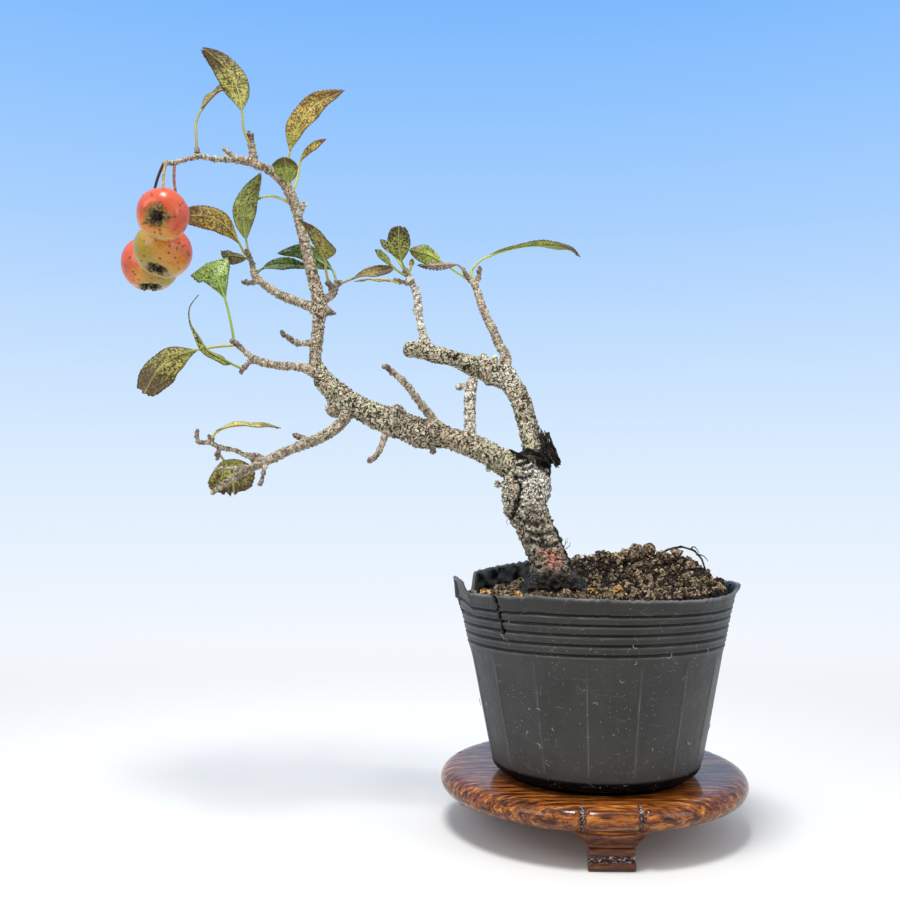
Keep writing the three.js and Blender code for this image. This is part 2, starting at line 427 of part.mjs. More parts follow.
function pot() {
  const floor = STAND.top + GAP;
  const outer = (z) => POT.baseRadius + POT.slope * z;
  const grooves = [];
  for (let i = 0; i < GROOVES.count; i++) {
    const z = GROOVES.first + i * GROOVES.pitch;
    grooves.push([outer(z - GROOVES.half), z - GROOVES.half], [outer(z) - GROOVES.depth, z],
      [outer(z + GROOVES.half), z + GROOVES.half]);
  }
  const c = POT.corner;
  const profile = [
    [POT.drain, 0], [outer(0) - c, 0], [outer(0) - 0.3 * c, 0.3 * c], [outer(c), c],
    ...grooves,
    [outer(POT.rimFrom), POT.rimFrom], [outer(POT.height), POT.height],
    [outer(POT.height) - POT.wall, POT.height], [outer(POT.rimFrom) - POT.wall, POT.rimFrom],
    [outer(c) - POT.wall, c], [outer(0) - c, POT.wall], [POT.drain, POT.wall],
    [POT.drain, 0],
  ];
  const geometry = mergeVertices(turned(profile, 36), 1e-4);
  const p = geometry.attributes.position;
  for (let k = 0; k < p.count; k++) {
    const angle = THREE.MathUtils.radToDeg(Math.atan2(p.getY(k), p.getX(k)));
    const share = Math.max(0, (p.getZ(k) - POT.rimFrom) / (POT.height - POT.rimFrom));
    const height = p.getZ(k) + floor + share * rim((angle + 360) % 360);
    p.setXYZ(k, p.getX(k), p.getY(k) + POT.y, height);
  }
  return closed(geometry);
}

// Height of the heaped soil over the point x, y
function soilTop(x, y) {
  const mound = (at) => at.height * Math.exp(-(((x - at.x) / at.wide) ** 2) - (((y - at.y) / at.deep) ** 2));
  return SOIL.top + SOIL.tilt * x + mound(HEAP) + mound(HOLLOW);
}

function soil(clearance) {
  const floor = STAND.top + GAP + POT.wall + GAP;
  const inner = (z) => POT.baseRadius + POT.slope * (z - STAND.top) - POT.wall - SOIL.wallGap;
  const rings = [1, 0.92, 0.8, 0.66, 0.5, 0.32, 0.14, 0];
  const edge = inner(SOIL.top - SOIL.wallDrop);
  const profile = [[0, floor], [inner(floor) - POT.corner, floor],
    [inner(floor + POT.corner), floor + POT.corner]];
  const geometry = mergeVertices(turned(
    [...profile, ...rings.map((part) => [edge * part, SOIL.top])], 32), 1e-4);
  const p = geometry.attributes.position;
  for (let k = 0; k < p.count; k++) {
    const [x, y, z] = [p.getX(k), p.getY(k) + POT.y, p.getZ(k)];
    const reach = Math.hypot(p.getX(k), p.getY(k));
    const atWall = reach > edge - 0.1;
    const grain = atWall ? -SOIL.wallDrop : SOIL.grain * (chance(x, y) - 0.5);
    const height = z > SOIL.top - 0.1 ? soilTop(x, y) + grain : z;
    const fit = atWall ? inner(height) / reach : 1;
    p.setXYZ(k, p.getX(k) * fit, p.getY(k) * fit + POT.y, height);
  }
  const crumbs = [];
  for (let i = 0; i < CRUMBS.count; i++) {
    const angle = 2 * Math.PI * chance(i, 1);
    const reach = CRUMBS.reach * Math.sqrt(chance(i, 2));
    const [x, y] = [reach * Math.cos(angle), POT.y + reach * Math.sin(angle)];
    const radius = THREE.MathUtils.lerp(CRUMBS.low, CRUMBS.high, chance(i, 3));
    crumbs.push(ball([x, y, soilTop(x, y) + 0.2 * radius, radius], 0, 0, 0.25));
  }
  const heap = join([solid(geometry), ...crumbs, ...PEBBLES.map((pebble) => ball(pebble, 0, 0, 0.15)),
    limb(ROOT_ARCH, 5, 3, 0, 0.1)]);
  return largest(heap.subtract(clearance));
}

// Round board with a bull-nosed edge, fuller and notched over each foot
function board() {
  const { radius, top, thick, feet } = STAND;
  const low = FOOT.height + GAP;
  const nosed = (bottom, round) => {
    const points = [[0, bottom]];
    const steps = 6;
    for (let i = 0; i <= steps; i++) {
      const angle = -Math.PI / 2 + Math.PI * i / steps;
      const out = radius - round + round * Math.cos(angle) ** 0.8;
      points.push([out, (top + bottom) / 2 + (top - bottom) / 2 * Math.sin(angle)]);
    }
    return solid(turned([...points, [0, top]], 36));
  };
  const full = nosed(low, STAND.fullNose);
  let body = nosed(top - thick, STAND.nose);
  for (let i = 0; i < feet; i++) {
    const turn = Math.PI + 2 * Math.PI * i / feet;
    const apron = new THREE.ExtrudeGeometry(apronOutline(), {
      depth: APRON.depth, bevelEnabled: false, curveSegments: 3,
    });
    apron.rotateX(Math.PI / 2).translate(0, radius + 2, low).rotateZ(turn);
    body = body.add(solid(apron).intersect(full));
    for (const hand of [-1, 1]) {
      const notch = new THREE.CylinderGeometry(APRON.notch, APRON.notch, 2 * thick, 4);
      notch.rotateX(Math.PI / 2).translate(0, radius + 0.35, top - thick / 2);
      body = body.subtract(solid(notch.rotateZ(turn + hand * APRON.notchTurn)));
    }
  }
  return body;
}

// The apron's face over a foot: as wide as the foot below, flaring up to the board
function apronOutline() {
  const half = FOOT.width / 2;
  const wide = half + APRON.flare;
  const outline = new THREE.Shape();
  outline.moveTo(-half, 0);
  outline.lineTo(half, 0);
  outline.quadraticCurveTo(half + 1, 3, wide, APRON.rise);
  outline.lineTo(wide, APRON.height);
  outline.lineTo(-wide, APRON.height);
  outline.lineTo(-wide, APRON.rise);
  outline.quadraticCurveTo(-half - 1, 3, -half, 0);
  return outline;
}

// A foot block with a groove across its face, standing on the ground
function foot(turn) {
  const outline = new THREE.Shape();
  outline.moveTo(FOOT.back, 0);
  outline.lineTo(FOOT.front - 0.6, 0);
  outline.lineTo(FOOT.front, 0.6);
  outline.lineTo(FOOT.front, FOOT.grooveLow);
  outline.quadraticCurveTo(FOOT.front - FOOT.sunk, (FOOT.grooveLow + FOOT.grooveHigh) / 2,
    FOOT.front, FOOT.grooveHigh);
  outline.lineTo(FOOT.front, FOOT.height);
  outline.lineTo(FOOT.back, FOOT.height);
  const bevel = 0.5;
  const block = new THREE.ExtrudeGeometry(outline, {
    depth: FOOT.width - 2 * bevel, bevelThickness: bevel, bevelSize: 0.4, bevelOffset: -0.4,
    bevelSegments: 1, curveSegments: 4,
  });
  block.translate(0, 0, -(FOOT.width - 2 * bevel) / 2).rotateX(Math.PI / 2).rotateZ(turn);
  return closed(block);
}

const group = new THREE.Group();

function place(name, geometry, colour, roughness) {
  const material = new THREE.MeshStandardMaterial({ name, color: colour, roughness, metalness: 0 });
  const mesh = new THREE.Mesh(geometry, material);
  mesh.name = name;
  group.add(mesh);
}

const clearance = wood(GAP);
const seated = (body) => geometryOf(largest(body.subtract(clearance)));

place('stand_board', geometryOf(board()), COLOURS.stand, 0.3);
for (let i = 0; i < STAND.feet; i++) {
  place(`stand_foot_${i + 1}`, foot(-Math.PI / 2 + 2 * Math.PI * i / STAND.feet), COLOURS.stand, 0.3);
}
place('pot', pot(), COLOURS.pot, 0.5);
place('soil', geometryOf(soil(clearance)), COLOURS.soil, 0.95);
place('trunk', geometryOf(wood(0)), COLOURS.trunk, 0.9);
for (const [name, parts] of Object.entries(LEAVES)) {
  place(name, seated(leaf(parts)), COLOURS[parts.colour], 0.6);
}
for (const [name, parts] of Object.entries(FRUITS)) {
  place(name, seated(fruit(parts)), COLOURS.fruit, 0.3);
}

// Stand the part on its feet with the origin under the middle of its box
group.updateMatrixWorld(true);
const box = new THREE.Box3().setFromObject(group);
const middle = box.getCenter(new THREE.Vector3());
group.position.set(-middle.x, -middle.y, -box.min.z);

export default group;
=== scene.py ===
# %% [markdown]
# # A hawthorn bonsai in its nursery pot
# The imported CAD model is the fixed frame: it says where every piece is and how large it is. Each piece is
# then built again with the detail a plain solid lacks. All sizes below are in millimetres from the middle
# of the round stand, as on a drawing, and are turned into metres once, when a piece is finished.

# %% Load the frame
import math
import random

import bmesh
import bpy
import numpy as np
from mathutils import Matrix, Vector, kdtree, noise


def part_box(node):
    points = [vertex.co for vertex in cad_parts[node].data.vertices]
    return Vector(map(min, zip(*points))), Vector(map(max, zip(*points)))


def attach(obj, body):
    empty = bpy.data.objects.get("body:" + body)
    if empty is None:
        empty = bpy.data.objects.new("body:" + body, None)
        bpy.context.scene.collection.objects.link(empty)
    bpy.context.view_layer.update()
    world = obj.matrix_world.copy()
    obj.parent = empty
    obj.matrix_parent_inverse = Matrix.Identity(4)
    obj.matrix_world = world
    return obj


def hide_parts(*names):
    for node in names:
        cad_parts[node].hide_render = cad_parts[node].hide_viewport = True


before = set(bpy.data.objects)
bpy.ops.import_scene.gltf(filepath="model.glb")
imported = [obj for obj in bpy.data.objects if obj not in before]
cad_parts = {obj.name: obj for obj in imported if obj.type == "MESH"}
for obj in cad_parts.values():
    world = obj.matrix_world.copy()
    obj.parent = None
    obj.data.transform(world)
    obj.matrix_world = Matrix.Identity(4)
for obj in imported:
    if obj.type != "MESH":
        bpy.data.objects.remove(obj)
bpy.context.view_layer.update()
MM = 0.001
noise.seed_set(5)  # noise vectors would otherwise start from the clock
board_low, board_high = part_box("stand_board")
middle = (board_low + board_high) / 2
TO_ROW = Matrix.Translation((middle.x, middle.y, 0)) @ Matrix.Scale(MM, 4)
print("nodes", len(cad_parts), "stand's middle", middle)

# %% [markdown]
# ## Two small makers' habits
# A finished piece lies at the origin with its place in its mesh, rides on the one body and hides the solid
# it stands for. A material is a tree of nodes, and a short helper keeps such trees readable: it adds one
# node, sets its sockets and joins those that are given another node's output.

# %% Finish a piece
def finished(name, mesh, node, slot, *materials):
    mesh.transform(TO_ROW)
    mesh.name = name
    piece = bpy.data.objects.new(name, mesh)
    bpy.context.scene.collection.objects.link(piece)
    for material in materials:
        mesh.materials.append(material)
    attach(piece, "root")
    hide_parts(node)
    mesh.calc_loop_triangles()
    print(name, len(mesh.loop_triangles), "triangles")
    return piece


def mesh_of(bm, smooth=True):
    for face in bm.faces:
        face.smooth = smooth
    mesh = bpy.data.meshes.new("piece")
    bm.to_mesh(mesh)
    bm.free()
    return mesh


# %% Mix a finish
def paint(red, green, blue):
    """A colour as a colour picker shows it, turned into the linear light that shaders use."""
    shares = (part / 255 for part in (red, green, blue))
    return tuple((c / 12.92 if c < 0.0404 else ((c + 0.055) / 1.055) ** 2.4) for c in shares) + (1,)


class Finish:
    """A material with its shader at hand."""

    def __init__(self, name, **sockets):
        self.material = bpy.data.materials.new(name)
        self.material.use_nodes = True
        self.tree = self.material.node_tree
        self.shader = self.tree.nodes["Principled BSDF"]
        for socket, value in sockets.items():
            self.shader.inputs[socket.replace("_", " ")].default_value = value
        where = self.node("TexCoord").outputs["Object"]
        self.mm = self.node("Mapping", Vector=where, Scale=(1000, 1000, 1000)).outputs[0]

    def node(self, kind, settings=None, **sockets):
        made = self.tree.nodes.new("ShaderNode" + kind)
        for key, value in (settings or {}).items():
            setattr(made, key, value)
        for key, value in sockets.items():
            socket = made.inputs[int(key[1:]) if key[0] == "_" else key.replace("_", " ")]
            if isinstance(value, bpy.types.NodeSocket):
                self.tree.links.new(value, socket)
            else:
                socket.default_value = value
        return made

    def stretched(self, x, y, z):
        return self.node("Mapping", Vector=self.mm, Scale=(x, y, z)).outputs[0]

    def clouds(self, size, detail=4, rough=0.6, where=None, bend=0):
        made = self.node("TexNoise", Vector=where or self.mm, Scale=1 / size, Detail=detail, Roughness=rough,
                         Distortion=bend)
        return made.outputs[0]

    def cells(self, size, feature="F1", where=None):
        made = self.node("TexVoronoi", {"feature": feature}, Vector=where or self.mm, Scale=1 / size)
        return made.outputs["Distance"]

    def carried(self, name, output="Fac"):
        return self.node("Attribute", {"attribute_name": name}).outputs[output]

    def maths(self, operation, first, second=0.0, third=0.0):
        return self.node("Math", {"operation": operation}, _0=first, _1=second, _2=third).outputs[0]

    def times(self, first, second):
        return self.maths("MULTIPLY", first, second)

    def plus(self, value, factor, base):
        """The value times a factor, added to a base, as when one pattern pushes another about."""
        return self.maths("MULTIPLY_ADD", value, factor, base)

    def most(self, first, second):
        return self.maths("MAXIMUM", first, second)

    def between(self, value, low, high):
        """0 below low, 1 above high and smooth between; turned round if low is above high."""
        if low > high:
            return self.maths("SUBTRACT", 1.0, self.between(value, high, low))
        made = self.node("MapRange", {"interpolation_type": "SMOOTHSTEP"}, Value=value)
        made.inputs["From Min"].default_value = low
        made.inputs["From Max"].default_value = high
        return made.outputs[0]

    def mix(self, share, first, second, blend="MIX"):
        return self.node("Mix", {"data_type": "RGBA", "blend_type": blend}, _0=share, _6=first, _7=second).outputs[2]

    def tinted(self, colour, red, green, blue):
        return self.mix(1.0, colour, (red, green, blue, 1), "MULTIPLY")

    def two_tones(self, pattern, low, high, first, second):
        """Two paints, the first where the pattern is under low, the second where it is over high."""
        return self.mix(self.between(pattern, low, high), paint(*first), paint(*second))

    def lay(self, share, tone, weight=1.0):
        """One more coat over the colour so far: a paint's three numbers, or another node's colour."""
        over = tone if isinstance(tone, bpy.types.NodeSocket) else paint(*tone)
        self.coat = self.mix(share if weight == 1 else self.times(share, weight), self.coat, over)

    def ramp(self, value, *stops):
        """Runs through the stops' paints as the value goes up."""
        made = self.node("ValToRGB", Fac=value)
        ends = made.color_ramp.elements
        for end, (place, colour) in zip((ends[0], ends[1]), (stops[0], stops[-1])):
            end.position, end.color = place, paint(*colour)
        for place, colour in stops[1:-1]:
            ends.new(place).color = paint(*colour)
        return made.outputs[0]

    def drive(self, socket, value):
        self.tree.links.new(value, self.shader.inputs[socket])

    def colour(self, value=None):
        self.drive("Base Color", value or self.coat)

    def bump(self, height, depth):
        """Relief of so many millimetres for a height from 0 to 1."""
        before = self.shader.inputs["Normal"].links
        made = self.node("Bump", Height=height, Distance=depth * MM, Strength=1.0)
        if before:
            self.tree.links.new(before[0].from_socket, made.inputs["Normal"])
        self.tree.links.new(made.outputs[0], self.shader.inputs["Normal"])


print("helpers ready")

# %% [markdown]
# ## Routes
# A limb, a leaf and a fruit's stalk all follow a route, a list of points. A Catmull-Rom curve runs
# smoothly through every point, which a Bezier curve would need handles for. It is the same curve that the CAD
# source uses, so wood and leaves lie where its solids do.

# %% Follow a route
def along(points, share):
    """The point at a share, 0 to 1, of the smooth line through the points; a radius goes along straight."""
    last = len(points) - 1
    where = min(max(share, 0), 1) * last
    low = min(int(where), last - 1)
    near, far, part = points[low], points[low + 1], where - low
    before = points[low - 1] if low > 0 else 2 * near - far
    after = points[low + 2] if low + 2 <= last else 2 * far - near
    a, b, c = (max(math.sqrt(np.linalg.norm((q - p)[:3])), 1e-3)
               for p, q in ((before, near), (near, far), (far, after)))
    leave = ((near - before) / a - (far - before) / (a + b) + (far - near) / b) * b
    reach = ((far - near) / b - (after - near) / (b + c) + (after - far) / c) * b
    point = (near + leave * part + (3 * (far - near) - 2 * leave - reach) * part ** 2
             + (2 * (near - far) + leave + reach) * part ** 3)
    point[3:] = (near + (far - near) * part)[3:]
    return point


def sampled(route, step):
    points = np.array(route, float)
    length = np.linalg.norm(np.diff(points[:, :3], axis=0), axis=1).sum()
    count = max(2, round(length / step))
    return np.array([along(points, i / count) for i in range(count + 1)])


# %% Bend round bars
def bars(lines, sides=8):
    """Closed round bars, one for each line of points with a radius as fourth number."""
    curve = bpy.data.curves.new("bars", "CURVE")
    curve.dimensions = "3D"
    curve.bevel_depth = 1
    curve.bevel_resolution = max(0, sides // 2 - 2)
    curve.use_fill_caps = True
    for line in lines:
        spline = curve.splines.new("POLY")
        spline.points.add(len(line) - 1)
        for point, (x, y, z, radius) in zip(spline.points, line):
            point.co = (x, y, z, 1)
            point.radius = radius
    holder = bpy.data.objects.new("bars", curve)
    mesh = bpy.data.meshes.new_from_object(holder)
    bpy.data.objects.remove(holder)
    bpy.data.curves.remove(curve)
    return mesh


def rounded(line):
    """The line with its far end drawn in to a dome."""
    ahead = line[-1, :3] - line[-2, :3]
    ahead /= np.linalg.norm(ahead)
    radius = line[-1, 3]
    dome = [np.append(line[-1, :3] + ahead * radius * go, radius * size) for go, size in ((0.3, 0.86), (0.5, 0.45))]
    return np.vstack([line, dome])


print("bars of", len(bars([[(0, 0, 0, 1), (0, 0, 5, 1)]], 8).vertices), "points for a short rod")

# %% [markdown]
# ## The wood
# Trunk, limbs, twigs and roots grew as one piece. One could sculpt it, or use a Skin modifier on a stick
# figure. Here each limb is a round bar along its route, thick and thin as in the photograph, because that
# keeps every bend where it was measured. Each limb also says what bark it has: plated, mossy, tawny, white,
# brown, grey, streaked, charred or a root's.

# %% The limbs' routes
LIMBS = [
    ("plated", [[-12, -13, 66, 5], [-13, -14, 76, 8], [-14, -14, 80.5, 8.2], [-15, -13, 86.5, 6.5],
                [-17.5, -12, 93, 6.4], [-20.5, -11, 99.5, 6.4], [-22.5, -10.5, 104.5, 7.4],
                [-22, -9.5, 110, 8], [-21.5, -8.5, 114, 7.6], [-21, -8, 118, 5.6]]),
    ("root", [[-14, -14, 83, 4.5], [-9, -18, 80, 3.4], [-4, -22, 76, 2.4], [-1, -25, 71, 1.6]]),
    ("root", [[-15, -14, 82, 4], [-20, -18, 79, 3], [-25, -22, 75, 1.8]]),
    ("root", [[-14, -13, 82, 4], [-7, -9, 80, 2.8], [-2, -6, 75, 1.6]]),
    ("root", [[-15, -13, 82, 4], [-20, -8, 79, 2.8], [-25, -4, 74, 1.6]]),
    ("mossy", [[-21, -8.5, 114.5, 6.5], [-27.5, -8, 117.5, 4.6], [-37, -8, 122.5, 4], [-47, -7.5, 126.5, 3.6],
               [-55.5, -7, 128, 4.8], [-63.5, -6, 131, 4.7], [-70.5, -5, 133.5, 4.4], [-77, -5, 136.5, 4],
               [-83, -4.5, 140, 4.2], [-89, -4, 145.5, 3.6], [-92, -3.5, 151, 2.4]]),
    ("tawny", [[-89, -4, 145.5, 3.2], [-92, -4, 151, 2.2], [-91.8, -3, 160, 2], [-91.3, -2, 167, 2.2],
                [-91, -2, 171, 2.9], [-92.3, -1, 177, 2.1], [-94.8, 0, 186, 2], [-97, 1, 195, 1.7],
                [-98.5, 1, 200, 1.6], [-100, 2, 206, 1.7], [-101.5, 2, 210, 1.9], [-103.5, 2, 214.3, 1.9],
                [-106, 1.5, 217, 1.8], [-109, 0, 219, 1.5], [-112.5, -2, 220, 1.4], [-117, -3, 221.3, 1.4],
                [-120, -5, 221, 1.2], [-126, -8, 220, 0.9], [-130, -10, 220.2, 0.9], [-135, -12, 218.3, 0.8],
                [-138, -13, 217, 0.8], [-141, -14, 216.6, 0.8]]),
    ("mossy", [[-19.5, -8, 115, 5.6], [-19.5, -7, 122, 4], [-20, -6, 126, 3.7], [-21.5, -4, 132.5, 3.5],
               [-23.5, -1, 140, 3.5], [-26, 1, 145, 3.6], [-29, 2.5, 149.5, 3.8]]),
    ("mossy", [[-26, 1, 146, 3.6], [-33, 3, 150, 4.3], [-38.5, 3, 151.5, 3.7], [-45, 2, 154, 2.8],
               [-52, 1, 155.5, 3.1], [-57, 0, 157, 3.1], [-61.5, 0, 157, 2.7]]),
    ("brown", [[-113.5, -2, 220, 1.4], [-114.5, -2, 225.5, 1.3], [-115, -3, 230.2, 1.2]]),
    ("streaked", [[-119.5, -5, 221, 0.9], [-121.5, -6, 222.8, 0.8], [-123.5, -6, 224.5, 0.7]]),
    ("brown", [[-131, -10, 220, 0.9], [-131.3, -10, 222.5, 0.8]]),
    ("white", [[-99.5, 2, 203.5, 1.4], [-97.3, 0, 207, 1.2]]),
    ("brown", [[-91, -2, 171, 2.4], [-87.2, -2.5, 169.2, 1]]),
    ("grey", [[-91, -4, 148.5, 2.2], [-97, -6, 150.3, 1.4], [-102, -8, 150.3, 1.3], [-106.5, -10, 150.7, 1.3],
              [-111, -12, 152, 1.3], [-113.5, -13, 154, 0.9], [-116, -14, 156.3, 0.8], [-117.3, -15, 157, 1.1]]),
    ("brown", [[-111.5, -12.5, 152, 0.9], [-114.8, -13, 148.5, 0.8]]),
    ("grey", [[-91, -2, 170.5, 1.9], [-98, 1, 173.2, 1.5], [-103.7, 3, 175.7, 1.5], [-108.5, 5, 178.5, 1.4],
              [-112.4, 7, 181.4, 1.2], [-115, 8, 184, 1.2], [-116.4, 9, 189, 1], [-118, 9, 192.6, 0.9]]),
    ("brown", [[-113.5, 7, 181.8, 0.9], [-118.3, 7, 181.4, 0.9]]),
    ("brown", [[-91, -2, 171, 1.6], [-89.6, 0, 174, 1.4], [-87.3, 1, 176, 1.2], [-86.4, 2, 178.6, 1.2],
               [-85.5, 3, 180.7, 1.1]]),
    ("brown", [[-87.3, 1, 176, 0.9], [-88.4, 1, 180.2, 0.8]]),
    ("brown", [[-92, -3, 159, 1.3], [-96.4, -6, 158.3, 1], [-98.7, -8, 158.3, 1], [-100.4, -10, 159.7, 0.9],
               [-102, -11, 160.3, 0.8]]),
    ("grey", [[-51.5, -7.5, 129, 1.8], [-52.5, -9, 132.3, 1.5], [-56.8, -12, 137.6, 1.3], [-60, -14, 142, 1.2],
              [-63.2, -16, 145.3, 1.1], [-67.6, -18, 148.6, 0.9]]),
    ("brown", [[-67.5, -6, 131, 1.6], [-68.5, -8, 127.4, 1.1], [-69.6, -10, 123.4, 1], [-71, -11, 120.7, 0.9],
               [-72.7, -12, 119, 0.7]]),
    ("brown", [[-53, -7, 125.5, 1.6], [-52.6, -9, 121.8, 1]]),
    ("white", [[-40.4, -8, 123, 2.4], [-40.4, -8, 128, 2], [-40.4, -6.5, 139, 2], [-39.4, -5, 146.3, 1.7]]),
    ("white", [[-40, -5.5, 144, 1.4], [-44.5, -7, 143.6, 1.2]]),
    ("streaked", [[-80, -5, 137.5, 2.6], [-83.3, -8, 131, 1.9], [-89.5, -11, 126.3, 1.8], [-95.6, -14, 123.5, 1.6],
                  [-100, -16, 121.4, 1.6], [-104.5, -18, 119, 1.6], [-107, -19, 117.8, 1.4], [-112, -21, 114.8, 1.2],
                  [-116.3, -22, 112.3, 1.1], [-121.5, -24, 108.2, 0.8]]),
    ("streaked", [[-106.3, -19, 118, 1], [-110, -22, 116.7, 0.7], [-114.4, -24, 116, 0.7],
                  [-120.2, -26, 115.6, 0.6]]),
    ("brown", [[-106, -18, 118.3, 1.2], [-109.2, -17, 119.8, 1.2], [-113, -16, 120.5, 0.8], [-116.4, -15, 122, 0.8],
               [-121.5, -14, 123, 0.8], [-125, -13, 124.6, 0.8], [-129, -12, 125, 0.8], [-129.6, -12, 127.5, 0.7]]),
    ("brown", [[-124, -13, 124, 0.7], [-124.7, -13, 126, 0.7]]),
    ("brown", [[-121.8, -14, 123, 0.7], [-122, -14, 120.2, 0.6]]),
    ("brown", [[-92, -12, 125, 1.3], [-97, -12, 126.8, 1]]),
    ("brown", [[-105.6, -18.5, 118.5, 0.9], [-106, -20, 115.5, 0.7], [-107, -20, 111.7, 0.6]]),
    ("white", [[-35.8, 3, 152, 1.6], [-35.7, 3, 155.4, 1.2]]),
    ("white", [[-31.5, 3, 150, 1.4], [-31.6, 3.5, 155, 1]]),
    ("grey", [[-28.5, 2.5, 149.5, 2.5], [-28, 5, 156, 1.7], [-30, 6, 159.6, 1.6], [-32.1, 7, 165, 1.6],
              [-34.2, 8, 169.3, 1.4], [-36, 9, 174, 1.4], [-37.2, 10, 178.6, 1.2], [-38.2, 10, 181.3, 1.2],
              [-37.2, 11, 183.7, 0.9], [-36.5, 11, 187, 0.8]]),
    ("brown", [[-37.9, 10, 181, 0.9], [-40.7, 10, 184, 0.9], [-42, 10, 186.3, 0.9]]),
    ("white", [[-55.5, 0, 156, 2.2], [-55.5, 0, 159.6, 1.8], [-56.2, 0, 162, 1.4], [-57.3, 1, 167.3, 1.2],
               [-58, 1, 170.8, 1.7], [-58, 1, 174, 1.2], [-58.7, 2, 177.2, 1.3], [-60, 2, 180.3, 1.2],
               [-61.4, 2, 183, 1.2], [-62.5, 2, 185, 1]]),
    ("brown", [[-61, 2, 180.3, 0.9], [-65, 1, 180.7, 0.8]]),
    ("charred", [[-17, -8, 121, 2.2], [-15.4, -8.5, 125, 1.1], [-14.6, -8.5, 128.4, 0.4]]),
    ("charred", [[-17.5, -8, 118.5, 2.4], [-13.2, -9, 119.5, 1.4], [-11, -9, 117.6, 0.5]]),
]
KNOTS = [
    (-85, -5, 137, 3.6), (-92, -1.5, 170.5, 2.6), (-26, -8, 108, 4.2), (-57, -8, 127.5, 4.4),
    (-18, -7.5, 122, 4.8), (-33, 2, 149, 4.2), (-109.5, -17.5, 119.3, 1.6), (-65.4, -6.5, 131.6, 5.3),
    (-53, -7.5, 128, 4.9),
    (-31.4, -9.5, 111.2, 1.3), (-34.6, -9.5, 116.4, 1.3), (-27, -9, 104, 2.4),
]
print(len(LIMBS), "limbs and", len(KNOTS), "knots")

# %% [markdown]
# Twigs aren't even rods: they swell at each old bud. Small seeded swellings go into the radius, and little
# pointed buds stand at the tips. Then a voxel remesh melts bars, knots and buds into one skin of small
# quads, soft where limbs meet, which a Boolean union would leave sharp and uneven.

# %% Swell the twigs and melt the wood into one skin
VOXEL = 0.42
lines, looks = [], []
for i, (look, route) in enumerate(LIMBS):
    line = sampled(route, 0.7)
    step = np.linalg.norm(np.diff(line[:, :3], axis=0, prepend=line[:1, :3]), axis=1).cumsum()
    for k, (s, radius) in enumerate(zip(step, line[:, 3])):
        bud = max(0, math.sin(2 * math.pi * s / 3.6 + i)) ** 5
        thin = min(1, max(0, (2.4 - radius) / 1.2))
        line[k, 3] = radius * (1 + 0.06 * noise.noise(Vector((s / 2.2, i, 0)))) + thin * 0.3 * bud - thin * 0.06
    lines.append(line)
    looks.append(look)

wood = bmesh.new()
skin = bars([rounded(line) for line in lines], 16)
wood.from_mesh(skin)
bpy.data.meshes.remove(skin)
for x, y, z, radius in KNOTS:
    bmesh.ops.create_icosphere(wood, subdivisions=3, radius=radius, matrix=Matrix.Translation((x, y, z)))
random.seed(3)
for look, line in zip(looks, lines):
    if look in ("brown", "grey") and line[-1, 3] < 1.3:
        tip, ahead = Vector(line[-1, :3]), Vector(line[-1, :3] - line[-3, :3]).normalized()
        for side in range(3):
            lean = (ahead + Vector([random.uniform(-0.7, 0.7) for _ in range(3)])).normalized()
            turn = Vector((0, 0, 1)).rotation_difference(lean).to_matrix().to_4x4()
            size = Matrix.Diagonal((0.66, 0.66, 1.05, 1))
            place = Matrix.Translation(tip - ahead * 0.7 * side + lean * 0.5) @ turn @ size
            bmesh.ops.create_icosphere(wood, subdivisions=2, radius=1.2, matrix=place)
rough_wood = mesh_of(wood)


def remeshed(mesh, size):
    holder = bpy.data.objects.new("holder", mesh)
    bpy.context.scene.collection.objects.link(holder)
    modifier = holder.modifiers.new("Remesh", "REMESH")
    modifier.mode = "VOXEL"
    modifier.voxel_size = size
    graph = bpy.context.evaluated_depsgraph_get()
    made = bpy.data.meshes.new_from_object(holder.evaluated_get(graph))
    bpy.data.objects.remove(holder)
    return made


bark = remeshed(rough_wood, VOXEL)
print("wood:", len(bark.vertices), "points,", len(bark.polygons), "quads")

# %% [markdown]
# ## Bark
# Bark is relief, not a picture: plates with cracks between them on the trunk, rings on the twigs, torn
# black bark at the fork and round scars where branches were cut. Each point of the skin looks up the limb
# that it lies on, so that cracks run along the limb and get shallower as it gets thinner. The same numbers
# are kept as colours on the points, so paint and relief agree.

# %% Find each point's limb
table = np.vstack(lines)
owner = np.concatenate([[i] * len(line) for i, line in enumerate(lines)])
ways = np.vstack([np.gradient(line[:, :3], axis=0) for line in lines])
ways /= np.linalg.norm(ways, axis=1)[:, None]
to_tip = np.concatenate([np.linalg.norm(line[:, :3] - line[-1, :3], axis=1) for line in lines])
tree = kdtree.KDTree(len(table))
for i, sample in enumerate(table):
    tree.insert(sample[:3], i)
tree.balance()
spots = np.zeros(len(bark.vertices) * 3)
bark.vertices.foreach_get("co", spots)
spots = spots.reshape(-1, 3)


def limb_at(spot):
    """The sample of a route whose bark lies nearest."""
    return min(tree.find_n(spot, 14), key=lambda found: found[2] - table[found[1], 3])[1]


nearest = np.array([limb_at(spot) for spot in spots])
print("thinnest and thickest wood:", table[nearest, 3].min().round(2), table[nearest, 3].max().round(2))

